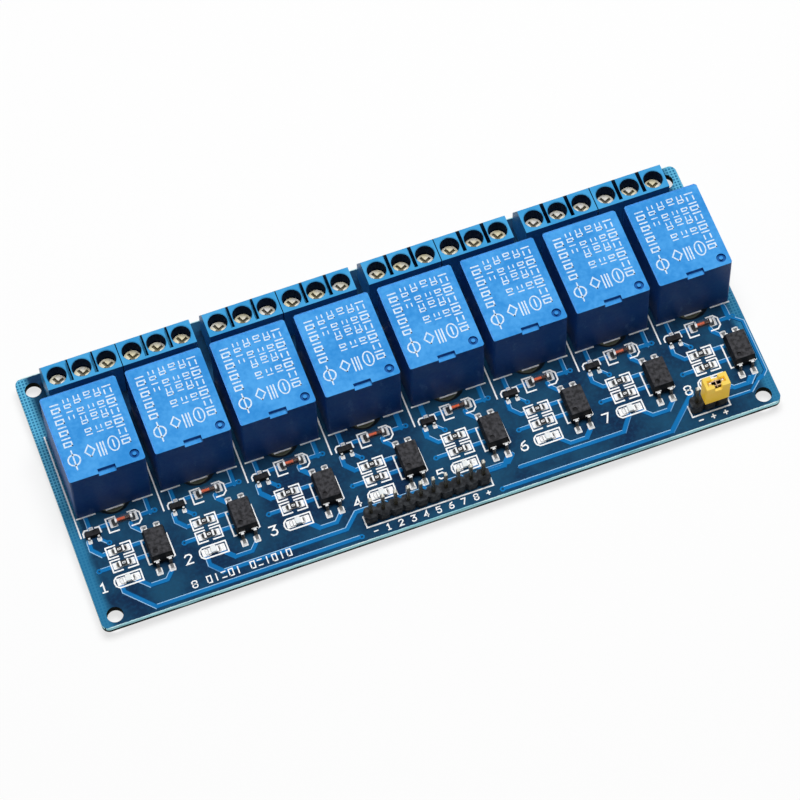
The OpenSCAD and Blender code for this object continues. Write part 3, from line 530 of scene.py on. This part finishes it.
# A line on the left of each relay.
between = [BOARD_LOW[0] + 1.9, *[(a + b) / 2 for a, b in zip(CENTRE_X, CENTRE_X[1:])]]
print_lines += [ink_line([(x, from_front(-4.4)), (x, BACK_Y)]) for x in between]
for low, high in (box_mm("input_header"), box_mm("supply_header")):
    left, right, front = low[0] - 0.1, high[0] + 0.15, low[1] - 0.5
    back = front + 2.6
    print_lines.append(ink_line([(left, back), (left, front), (right, front), (right, back)]))
for i, mark in enumerate("-12345678+"):
    print_lines.append(sign(mark, header_pins[i][0], HEADER_Y - 2.95, 1.2, 0.24))
for i, mark in enumerate("-++"):
    print_lines.append(sign(mark, header_pins[TEN_WAY + i][0], HEADER_Y - 2.9, 1.3, 0.28))
ROW_START, ROW_PITCH, ROW_Y = -49.9, 1.45, -25.3
for i, mark in enumerate("8 gap box bar pair box bar gap box pair bar box bar box".split()):
    if mark != "gap":
        print_lines.append(sign(mark, ROW_START + ROW_PITCH * i, ROW_Y, 1.4, 0.24))
piece("print_on_board", join(print_lines, CROSSING_RISE), ink)

# ---- relays ------------------------------------------------------------------------------------
# Each case is moulded in blue thermoplastic with a fine matt surface, and its top is pad printed.
# A flat base plate closes it, and coil, yoke, armature and contacts stand inside.
CASE_TOP = CASES[0][1][2]
case_blue = Finish("relay_plastic", specular_level=0.15)
matt = case_blue.noise(0.35, 3)
cloud = case_blue.noise(7, 3)
mottle = cloud * 0.6 + case_blue.noise(0.9, 4) * 0.4
tone = case_blue.blend(case_blue.ramp(mottle, 0.35, 0.68), paint("#348cd6"), paint("#50a5ea"))
height, up = case_blue.axis(2), case_blue.axis(2, "Normal")
# Lighter patches on the upright faces: partly smudges, which also roughen the surface, and partly
# painted reflection of the parts in front.
smudge_reflection_noise = case_blue.noise(2.4, 5, (1, 1, 0.5), 0.65)
smudges_and_reflection = case_blue.ramp(smudge_reflection_noise, 0.56, 0.8) * (1 - case_blue.ramp(up, 0.2, 0.6))
# Painted shade: the upright faces of the case are painted dark navy, and darker still towards the board.
side = 1 - case_blue.ramp(up, 0.1, 0.6)
tone = case_blue.blend(side * 0.76, tone, paint("#072b85"))
shade_near_board = side * (1 - case_blue.ramp(height, 5, 13))
tone = case_blue.blend(shade_near_board * 0.4, tone, paint("#030f36"))
tone = case_blue.blend(smudges_and_reflection * 0.4, tone, paint("#7fa6dc"))
# Painted highlight along the rounded edges between the top and the sides of the case.
rim = case_blue.ramp(up, 0.3, 0.6) * (1 - case_blue.ramp(up, 0.8, 0.97))
tone = case_blue.blend(rim * 0.4, tone, paint("#6fb4f4"))
# Painted shade on the floors of the notch and the vent, below the top.
sunk_shade = (case_blue.ramp(height, CASE_TOP - 1.0, CASE_TOP - 0.8)
        - case_blue.ramp(height, CASE_TOP - 0.4, CASE_TOP - 0.2))
tone = case_blue.blend(sunk_shade * case_blue.ramp(up, 0.6, 0.9) * 0.75, tone, paint("#0b3a86"))
case_blue.surface(
    base_color=tone,
    roughness=case_blue.ramp(matt, 0.2, 0.8, 0.36, 0.5) + smudges_and_reflection * 0.2,
    normal=case_blue.bump(matt + cloud * 2, 0.012, 0.7),
)
dress(case_blue, *[f"relay_case_{k}" for k in CHANNELS])

PRINT_LOW, PRINT_HIGH = CASE_TOP - 0.01, CASE_TOP + 0.02
QUARTER = math.pi / 2


def print_row(marks, count, x, start, end, height, width):
    """Plain bars and boxes in turn along the case, evenly spaced from start to end."""
    pitch, marks = (end - start) / count, marks.split()
    row = [marks[i % len(marks)] for i in range(count)]
    return [sign(mark, x, start + (i + 0.5) * pitch, height, width, QUARTER, PRINT_LOW, PRINT_HIGH)
            for i, mark in enumerate(row) if mark != "gap"]


def loop(x, y, rx, ry, width, sides=28):
    """A closed oval line: (rx cos t, ry sin t) with the width laid along its radius."""
    t = np.linspace(0, 2 * math.pi, sides, endpoint=False)[:, None]
    grow = np.array([1, 1, -1, -1]) * width / 2
    z = np.array([PRINT_LOW, PRINT_HIGH, PRINT_HIGH, PRINT_LOW])
    rings = np.stack([x + (rx + grow) * np.cos(t), y + (ry + grow) * np.sin(t), z + 0 * t], axis=-1)
    return tube(rings[::-1], closed=True)


def top_line(path, width=0.28):
    """A printed line on a relay's top: a stroke with round ends."""
    return stroke(path, width, PRINT_LOW, PRINT_HIGH, True)


# Six rows along the case, then the signs at its front end.
case_print = (
    print_row("box bar", 8, -5.3, 7.2, 17.3, 1.5, 0.3)
    + print_row("pair bar box", 4, -2.9, 12.5, 17.5, 1.15, 0.24)
    + print_row("bar box gap box pair", 10, -0.8, 8.0, 17.5, 1.1, 0.23)
    + print_row("bar pair gap bar box", 10, 1.3, 8.0, 17.5, 1.1, 0.23)
    + print_row("bar box gap box pair", 10, 3.25, 8.0, 17.5, 1.1, 0.23)
    + print_row("box bar pair bar", 12, 5.25, 4.2, 17.8, 1.5, 0.28)
    + [loop(-5.2, 4.3, 1.15, 1.15, 0.3), top_line([(-5.2, 2.2), (-5.2, 6.4)]),
       top_line([(-1.85, 3.9), (-2.8, 5.15), (-1.85, 6.4), (-0.9, 5.15), (-1.85, 3.9)]),
       top_line([(-0.2, 3.4), (-0.2, 6.2)]), top_line([(0.45, 3.4), (0.45, 6.2)]),
       top_line([(1.0, 3.4), (1.0, 6.2)]), loop(2.85, 5.1, 1.0, 1.55, 0.26),
       top_line([(2.85, 4.3), (2.85, 5.9)])]
)
pale_ink = Finish("pale_print")
wear = pale_ink.noise(0.3, 3)
pale_ink.surface(
    base_color=pale_ink.blend(pale_ink.ramp(wear, 0.3, 0.6), paint("#a9cdee"), paint("#e3f0fb")),
    roughness=pale_ink.ramp(wear, 0.2, 0.8, 0.45, 0.65),
    normal=pale_ink.bump(wear, 0.01, 0.5),
)
piece("print_on_relays", repeat(join(case_print), [(x, FRONT_Y, 0) for x in CENTRE_X]),
      pale_ink)

base_blue = Finish("relay_base_plastic", roughness=0.5)
grain = base_blue.noise(0.5, 3)
base_blue.surface(base_color=base_blue.blend(grain, paint("#1f62b8"), paint("#2f78cf")),
                  normal=base_blue.bump(grain, 0.02, 0.6))
dress(base_blue, "relay_bases")

nylon = Finish("bobbin_nylon", roughness=0.45, subsurface_weight=0.1)
flow = nylon.noise(2.5, 3, (1, 1, 0.4))
nylon.surface(base_color=nylon.blend(flow, paint("#d9d2bd"), paint("#f1ecdd")),
              normal=nylon.bump(flow + nylon.noise(0.3), 0.02, 0.5))
dress(nylon, "relay_bobbins")

enamel = Finish("enamelled_wire", metallic=0.8, coat_weight=0.6, coat_roughness=0.15)
turns = wave(enamel.axis(2) + enamel.noise(3) * 0.08, 0.12)
enamel.surface(base_color=enamel.blend(turns, paint("#7a3313"), paint("#d3793a")),
               roughness=enamel.ramp(turns, 0, 1, 0.5, 0.28), normal=enamel.bump(turns, 0.05, 0.8))
dress(enamel, "relay_windings")


def steel(name, dark, light, rough, grain_mm=0.5, stretch=(1, 1, 6), upright_shade=0.0, foot=0.0):
    """Plated or bare sheet metal with the lines that rolling and pressing leave. Its upright faces are
    painted dark as shade, as far as the argument after `stretch` says, and below the height `foot` in mm
    it is painted dark all over as shade."""
    finish = Finish(name, metallic=0.35)
    lines = finish.noise(grain_mm, 4, stretch)
    stain = finish.noise(3, 3)
    tone = finish.blend(finish.ramp(lines, 0.3, 0.7) * 0.6 + stain * 0.4, paint(dark), paint(light))
    # Painted shade on the upright faces, and below the height `foot` on all faces.
    if upright_shade:
        flank = 1 - finish.ramp(finish.axis(2, "Normal"), 0.35, 0.75)
        tone = finish.blend(flank * upright_shade, tone, paint("#141516"))
    if foot:
        low = 1 - finish.ramp(finish.axis(2), foot, foot + 0.2)
        tone = finish.blend(low * 0.8, tone, paint("#2a2c2d"))
    finish.surface(
        base_color=tone,
        roughness=finish.ramp(lines, 0.25, 0.8, rough, rough + 0.18),
        normal=finish.bump(lines, 0.01, 0.6),
    )
    return finish


iron = steel("nickel_plated_iron", "#9b9ea0", "#cfd2d3", 0.24)
dress(iron, "relay_yokes", "relay_cores")
spring_steel = steel("armature_steel", "#a89468", "#d8c79a", 0.26, 0.6, (6, 1, 1))
dress(spring_steel, *[f"relay_armature_{k}" for k in CHANNELS])
contact_copper = steel("contact_copper", "#a8643a", "#dda273", 0.22)
dress(contact_copper, "relay_switched_contacts", "relay_common_pins")
tinned = steel("tinned_pin", "#b9bcbd", "#e6e8e8", 0.25)
dress(tinned, "relay_coil_pins", "terminal_pins")

# ---- screw terminals ---------------------------------------------------------------------------
# Three-way blocks moulded in a brighter blue, side by side in pairs. In each well a yellow zinc
# plated screw with a crossed recess draws a rising cage against the contact bar.
block_blue = Finish("terminal_plastic", specular_level=0.1)
matt = block_blue.noise(0.4, 3)
cloud = block_blue.noise(5, 3)
tone = block_blue.blend(block_blue.ramp(cloud, 0.3, 0.75), paint("#3a98d3"), paint("#4fa9df"))
dust = block_blue.ramp(block_blue.noise(1.3, 5, None, 0.7), 0.6, 0.85)
tone = block_blue.blend(dust * 0.25, tone, paint("#8fc0ee"))
block_low, block_high = box_mm("terminal_block_1")
pair_middle = (block_high[0] + box_mm("terminal_block_2")[0][0]) / 2
pair_pitch = box_mm("terminal_block_3")[0][0] - block_low[0]
pair_half = pair_middle - block_low[0]


def from_nearest(finish, first, pitch):
    """How far x is from the nearest of a row: x - first, carried back by whole pitches."""
    along = finish.axis(0) - first + pitch / 2
    return along.math("FLOORED_MODULO", along, pitch) - pitch / 2


off_middle = from_nearest(block_blue, pair_middle, pair_pitch)
upright = block_blue.axis(2, "Normal")
from_middle = off_middle.math("ABSOLUTE", off_middle)
# The upright walls of wells, slots and wire entries, painted near-black blue as the shade that lies
# there behind the outer skin.
inside = ((1 - block_blue.ramp(upright.math("ABSOLUTE", upright), 0.4, 0.6))
          * block_blue.ramp(block_blue.axis(1), block_low[1] + 0.06, block_low[1] + 0.12)
          * (1 - block_blue.ramp(from_middle, pair_half - 0.3, pair_half - 0.2)))
block_blue.surface(
    base_color=block_blue.blend(inside * 0.97, tone, paint("#071637")),
    roughness=block_blue.ramp(matt, 0.2, 0.8, 0.3, 0.44) + dust * 0.15 + inside * 0.5,
    normal=block_blue.bump(matt + cloud, 0.012, 0.6),
)
dress(block_blue, *[f"terminal_block_{b}" for b in CHANNELS])

plating = Finish("yellow_zinc_plating", metallic=0.2)
swirl = plating.noise(0.5, 4)
haze = plating.noise(2.6, 3)
tone = plating.blend(plating.ramp(haze, 0.35, 0.7), paint("#fff6d4"), paint("#ffffff"))
head_z = box_mm("terminal_screws")[1][2]
# Painted shade: below the top of the head, in the cross and down its sides, the screw is painted dark
# olive.
recess = 1 - plating.ramp(plating.axis(2), head_z - 0.5, head_z - 0.15)
tone = plating.blend(swirl * 0.25, tone, paint("#cdbf72"))
plating.surface(
    base_color=plating.blend(recess * 0.8, tone, paint("#3a3414")),
    roughness=plating.ramp(swirl, 0.2, 0.8, 0.2, 0.36),
    normal=plating.bump(swirl, 0.008, 0.5),
)
dress(plating, "terminal_screws")
dress(steel("nickel_plated_cage", "#a9aba6", "#dcdcd4", 0.28), "terminal_clamps")

# ---- small driver parts ------------------------------------------------------------------------
# In each channel: a four-lead optocoupler, two chip resistors, a lamp, a glass diode and a
# transistor, all soldered to pads on the face of the board.
epoxy = Finish("moulded_epoxy", specular_level=0.12)
pit = epoxy.noise(0.18, 4)
cloud = epoxy.noise(0.7, 3)
mottle = epoxy.ramp(cloud, 0.3, 0.7) * 0.7 + epoxy.ramp(pit, 0.5, 0.9) * 0.3
tone = epoxy.blend(mottle, paint("#29292b"), paint("#505054"))
package_top = box_mm("optocoupler_bodies")[1][2]
# Painted shade: the body is painted near black low down, towards the board.
shade_low_on_body = 1 - epoxy.ramp(epoxy.axis(2), package_top - 0.9, package_top - 0.7)
tone = epoxy.blend(shade_low_on_body * 0.55, tone, paint("#0d0d0e"))
# Faces that look up, apart from the floor of the dimple that marks the first lead. All other faces and
# the dimple's floor are painted near black as shade.
dimple = (epoxy.ramp(epoxy.axis(2), package_top - 0.3, package_top - 0.2)
          * (1 - epoxy.ramp(epoxy.axis(2), package_top - 0.1, package_top - 0.05)))
face = epoxy.ramp(epoxy.axis(2, "Normal"), 0.3, 0.8) * (1 - dimple)
epoxy.surface(
    base_color=epoxy.blend(face, paint("#0d0d0e"), tone),
    roughness=epoxy.ramp(pit, 0.2, 0.8, 0.5, 0.68),
    normal=epoxy.bump(pit, 0.025, 0.8),
)
dress(epoxy, "optocoupler_bodies", "transistor_bodies")
# Painted shade: the leads' and caps' upright faces are painted near black, and the gull-wing leads also
# below their knees.
lead = steel("tinned_lead", "#f0f2f3", "#ffffff", 0.2, 0.25, (1, 1, 1), 0.85)
dress(lead, "transistor_leads", "resistor_caps", "lamp_caps", "diode_caps")
knee_z = TOP_Z + 0.9
gull_wing = steel("gull_wing_lead", "#f4f6f7", "#ffffff", 0.2, 0.25, (1, 1, 1), 0.95, knee_z)
dress(gull_wing, "optocoupler_leads")

overglaze = Finish("resistor_glaze", roughness=0.32, specular_level=0.3)
top_face = overglaze.ramp(overglaze.axis(2), TOP_Z + 0.36, TOP_Z + 0.42)
tone = overglaze.blend(overglaze.noise(0.3, 3), paint("#17181a"), paint("#2b2d30"))
overglaze.surface(base_color=overglaze.blend(top_face, paint("#e4e2da"), tone),
                  normal=overglaze.bump(overglaze.noise(0.2, 3), 0.01, 0.6))
dress(overglaze, "resistor_bodies")

ceramic = Finish("lamp_base", roughness=0.45)
ceramic.surface(base_color=ceramic.blend(ceramic.noise(0.4, 3), paint("#e3e6e0"), paint("#fafbf8")),
                normal=ceramic.bump(ceramic.noise(0.2, 3), 0.01, 0.5))
dress(ceramic, "lamp_bases")
# The lens glows a faint grey: painted light that keeps it pale where little light falls.
lens = Finish("lamp_lens", roughness=0.18, transmission_weight=0.05, ior=1.5, subsurface_weight=0.2,
              emission_color=paint("#4a4c4a"), emission_strength=1.0)
haze = lens.noise(0.5, 3)
lens.surface(base_color=lens.blend(haze, paint("#f4f6f2"), paint("#ffffff")),
             normal=lens.bump(haze, 0.02, 0.5))
dress(lens, "lamp_lenses")

glass = Finish("diode_glass", roughness=0.06)
ripple = glass.noise(1.2, 2)
glass.surface(base_color=glass.blend(ripple, paint("#8c6a5c"), paint("#c7b2a8")),
              alpha=glass.ramp(ripple, 0.3, 0.7, 0.05, 0.14), normal=glass.bump(ripple, 0.02, 0.5))
dress(glass, "diode_glasses")
core = Finish("diode_core", roughness=0.35)
along = from_nearest(core, CENTRE_X[0], CENTRE_X[1] - CENTRE_X[0])
dark_end = core.ramp(along + core.noise(0.3) * 0.1, 0.95, 1.15)
tone = core.blend(core.noise(0.4, 3), paint("#f2431a"), paint("#ff8048"))
core.surface(base_color=core.blend(dark_end, tone, paint("#2a1512")),
             normal=core.bump(core.noise(0.3, 3), 0.02, 0.5))
dress(core, "diode_cores")


def molten(name, shade, climb=None):
    """Solder that set from liquid, with painted shade: bright where it lies flat, painted darker by
    `shade` on its slopes and, where it climbs a joint, above the height `climb`."""
    finish = Finish(name, metallic=0.25)
    grain = finish.noise(0.22, 4)
    cool = finish.noise(0.9, 3)
    # Painted shade on the slopes, and above the height `climb`.
    slope = 1 - finish.ramp(finish.axis(2, "Normal"), 0.8, 0.985)
    if climb:
        slope = slope.math("MAXIMUM", slope, finish.ramp(finish.axis(2), climb, climb + 0.06))
    tone = finish.blend(finish.ramp(cool, 0.35, 0.7), paint("#eef0f1"), paint("#ffffff"))
    finish.surface(
        base_color=finish.blend(slope * shade, tone, paint("#181a1c")),
        roughness=finish.ramp(grain, 0.25, 0.8, 0.16, 0.4),
        normal=finish.bump(grain + cool * 1.5, 0.015, 0.5),
    )
    return finish


def fillet(length, width, height, steps=6, lanes=7):
    """A solder fillet against an upright face at x = 0. Over u from 0 to 1 along the length and v
    from -1 to 1 across the width its height is (1 - u)^1.3 (1 - v^4), with a thin foot all round."""
    u, v = np.meshgrid(np.linspace(0, 1, steps), np.linspace(-1, 1, lanes), indexing="ij")
    z = height * (1 - u) ** 1.3 * (1 - v ** 4) + 0.03
    x = u * length * (1 - 0.25 * v ** 4)
    skin = np.stack([x, v * width / 2, z], axis=-1).reshape(-1, 3)
    floor = skin * (1, 1, 0)
    number = np.arange(steps * lanes).reshape(steps, lanes)
    rim = np.concatenate([number[0], number[1:, -1], number[-1, -2::-1], number[-2:0:-1, 0]])
    quads = np.stack([number[:-1, :-1], number[1:, :-1], number[1:, 1:], number[:-1, 1:]], -1)
    nxt, count = np.roll(rim, -1), steps * lanes
    sides = np.column_stack([rim, nxt, nxt + count, rim + count])
    return (np.vstack([skin, floor]),
            quads.reshape(-1, 4).tolist() + sides[:, ::-1].tolist()[::-1] + [(rim + count).tolist()])


def at_channels(points):
    """The same (dx, dy, turn) in every channel, on the board's face."""
    return [(x + dx, FRONT_Y + dy, TOP_Z + 0.04, turn) for x in CENTRE_X for dx, dy, turn in points]


chip_ends = [(dx, row, turn) for row in (RESISTOR_ROW_1, RESISTOR_ROW_2)
             for dx, turn in ((-3.03, math.pi), (-1.07, 0))]
diode_ends = [(-1.03, DIODE_ROW, math.pi), (2.43, DIODE_ROW, 0)]
toes = [(3.78, -16.4, -QUARTER), (6.32, -16.4, -QUARTER), (3.78, -6.4, QUARTER), (6.32, -6.4, QUARTER)]
small_toes = [(-6.7, -5.55, -QUARTER), (-4.8, -5.55, -QUARTER), (-5.75, -3.15, QUARTER)]
piece("solder_on_small_parts", join([
    repeat(fillet(0.62, 1.3, 0.46), at_channels(chip_ends)),
    repeat(fillet(0.7, 1.3, 0.1), at_channels([(-3.28, LAMP_ROW, math.pi)])),
    repeat(fillet(0.5, 1.3, 0.26), at_channels([(-1.32, LAMP_ROW, 0)])),
    repeat(fillet(0.7, 1.6, 0.85), at_channels(diode_ends)),
]), molten("reflowed_solder", 0.95, TOP_Z + 0.16), smooth=True)
piece("solder_at_leads", join([
    repeat(fillet(0.5, 1.15, 0.3), at_channels(toes)),
    repeat(fillet(0.4, 0.75, 0.2), at_channels(small_toes)),
]), molten("lead_solder", 0.3), smooth=True)
chip_top = box_mm("resistor_bodies")[1][2]
chip_mark = sign("box", 0, 0, 0.55, 0.12, QUARTER, chip_top - 0.01, chip_top + 0.02)
chips = [(x - 2.05, FRONT_Y + row, 0) for x in CENTRE_X for row in (RESISTOR_ROW_1, RESISTOR_ROW_2)]
piece("marks_on_resistors", repeat(chip_mark, chips), ink)

# ---- headers and jumper ------------------------------------------------------------------------
# Square gold flashed pins pressed into black strips. A yellow cap with a brass clip inside bridges
# two of the supply pins.
black = Finish("header_plastic", specular_level=0.15)
matt = black.noise(0.25, 4)
scuff = black.noise(0.8, 3)
worn = black.ramp(scuff, 0.35, 0.7) * 0.7 + matt * 0.3
black.surface(
    base_color=black.blend(worn, paint("#16171a"), paint("#45484c")),
    roughness=black.ramp(matt, 0.2, 0.8, 0.38, 0.55),
    normal=black.bump(matt + black.noise(1.5), 0.02, 0.7),
)
dress(black, "input_header", "supply_header")
gold = Finish("gold_flash", metallic=0.6)
draw_lines = gold.noise(0.2, 3, (1, 1, 0.2))
# Painted light: the pins' tips are painted near white as a highlight, and their shanks dark as shade.
lit_tip = gold.ramp(gold.axis(2), TOP_Z + 7.6, TOP_Z + 7.9)
shaded_shank = gold.blend(draw_lines, paint("#33312a"), paint("#6b6553"))
gold.surface(
    base_color=gold.blend(lit_tip, shaded_shank, paint("#faf6e8")),
    roughness=gold.ramp(draw_lines, 0.2, 0.8, 0.22, 0.38),
    normal=gold.bump(draw_lines, 0.006, 0.5),
)
dress(gold, "input_pins", "supply_pins")
yellow = Finish("jumper_plastic", subsurface_weight=0.05, emission_strength=1.0)
matt = yellow.noise(0.3, 3)
cloud = yellow.noise(2.5, 3)
# Painted light: the upright walls of the cap glow a dim yellow.
wall = 1 - yellow.ramp(yellow.axis(2, "Normal"), 0.3, 0.7)
yellow.surface(
    base_color=yellow.blend(cloud, paint("#efc93c"), paint("#ffe27a")),
    emission_color=yellow.blend(wall, (0, 0, 0, 1), paint("#a38115")),
    roughness=yellow.ramp(matt, 0.2, 0.8, 0.34, 0.48),
    normal=yellow.bump(matt, 0.015, 0.7),
)
dress(yellow, "jumper_cap")
# Painted shade: the clip's upright faces are painted near black.
dress(steel("clip_brass", "#8f5f3c", "#e6cfae", 0.3, 0.5, (1, 1, 6), 0.9), "jumper_clip")

# ---- solder under the board --------------------------------------------------------------------
# A cone of solder climbs every trimmed pin, where the board went through the solder wave. Its flat
# skirt is bright and its steep flank is painted darker as shade.
dress(molten("wave_solder", 0.4), "solder_joints")

# ---- floor, light and camera -------------------------------------------------------------------
# A pale floor that fades to white, one wide soft lamp overhead and a little sky light. The floor is
# clear from below, and the lamp stays out of mirrors, so that flat metal doesn't burn out.
FLOOR_HALF = 3.0
corners = [(x * FLOOR_HALF, y * FLOOR_HALF, 0) for x, y in ((-1, -1), (1, -1), (1, 1), (-1, 1))]
ground = bpy.data.meshes.new("floor")
ground.from_pydata(corners, [], [(0, 1, 2, 3)])
floor = bpy.data.objects.new("floor", ground)
bpy.context.scene.collection.objects.link(floor)


def rays(tree, *kinds):
    """1 for rays of these kinds, else 0."""
    total = sum(tree.add("ShaderNodeLightPath", out=f"Is {kind} Ray") for kind in kinds)
    return total.math("MINIMUM", total, 1.0)


def seen(tree):
    """1 for rays from the camera, from mirrors and through glass, else 0."""
    return rays(tree, "Camera", "Glossy", "Transmission")


pale = Finish("floor", roughness=0.9, specular_level=0.0)
across, deep = (pale.axis(i).math("ABSOLUTE", pale.axis(i)) for i in (0, 1))
# What lies under the board, less its corners, where the mounting holes let light through.
corner = pale.ramp(across, 59, 61) * pale.ramp(deep, 20, 22)
below = (1 - pale.ramp(across, 66, 68)) * (1 - pale.ramp(deep, 25, 27)) * (1 - corner)
# For the camera, mirrors and glass the floor under the board is painted mid grey as its shadow,
# elsewhere near white.
pale.surface(base_color=pale.blend(seen(pale) * (1 - below), paint("#5c5c5c"), paint("#f8f8f8")))
# Around the board the floor glows a little where it is seen, and under it the glow lights the
# solder side.
glow = pale.add("ShaderNodeEmission", {}, {"Color": (1, 1, 1, 1), "Strength": 1.0})
lift = pale.add("ShaderNodeMixShader", {}, {0: seen(pale) * (1 - below) * 0.72,
                                            1: Value(pale, pale.shader.outputs[0]), 2: glow})
under = pale.add("ShaderNodeMixShader", {}, {0: rays(pale, "Diffuse", "Glossy") * below * 0.5,
                                             1: lift, 2: glow})
clear = pale.add("ShaderNodeBsdfTransparent")
from_below = pale.add("ShaderNodeNewGeometry", out="Backfacing")
pale.feed(pale.output, {0: pale.add("ShaderNodeMixShader", {}, {0: from_below, 1: under, 2: clear})})
ground.materials.append(pale.material)

world = bpy.data.worlds.new("sky")
bpy.context.scene.world = world
world.use_nodes = True
world.node_tree.nodes.clear()


class Sky(Finish):
    """The world's tree, fed in the same way."""

    def __init__(self, tree):
        self.nodes, self.links = tree.nodes, tree.links


sky = Sky(world.node_tree)
strength = seen(sky) * 0.88 + 0.12
background = sky.add("ShaderNodeBackground", {}, {"Color": (1, 1, 1, 1), "Strength": strength})
sky.feed(sky.nodes.new("ShaderNodeOutputWorld"), {0: background})


def lamp(name, place, aim, size, watts):
    """A soft rectangular lamp that looks at a point."""
    data = bpy.data.lights.new(name, "AREA")
    data.shape, data.size, data.size_y, data.energy = "RECTANGLE", size[0], size[1], watts
    made = bpy.data.objects.new(name, data)
    made.location = place
    made.rotation_euler = (Vector(aim) - Vector(place)).to_track_quat("-Z", "Y").to_euler()
    made.visible_glossy = False
    bpy.context.scene.collection.objects.link(made)


lamp("key", (0.06, 0.12, 0.95), (0, 0, 0), (0.5, 0.4), 8.9)

camera = bpy.data.objects.new("camera", bpy.data.cameras.new("camera"))
camera.location = (-0.10779, -0.33888, 0.68319)
look = (Vector((0.00847, 0.00337, 0.0036)) - camera.location).to_track_quat("-Z", "Y")
camera.rotation_euler = look.to_euler()
camera.rotation_euler.rotate_axis("Z", math.radians(-1.75))
camera.data.lens, camera.data.shift_x, camera.data.shift_y = 178.2, -0.04, -0.0469
bpy.context.scene.collection.objects.link(camera)
bpy.context.scene.camera = camera
bpy.context.scene.view_settings.view_transform = "Standard"
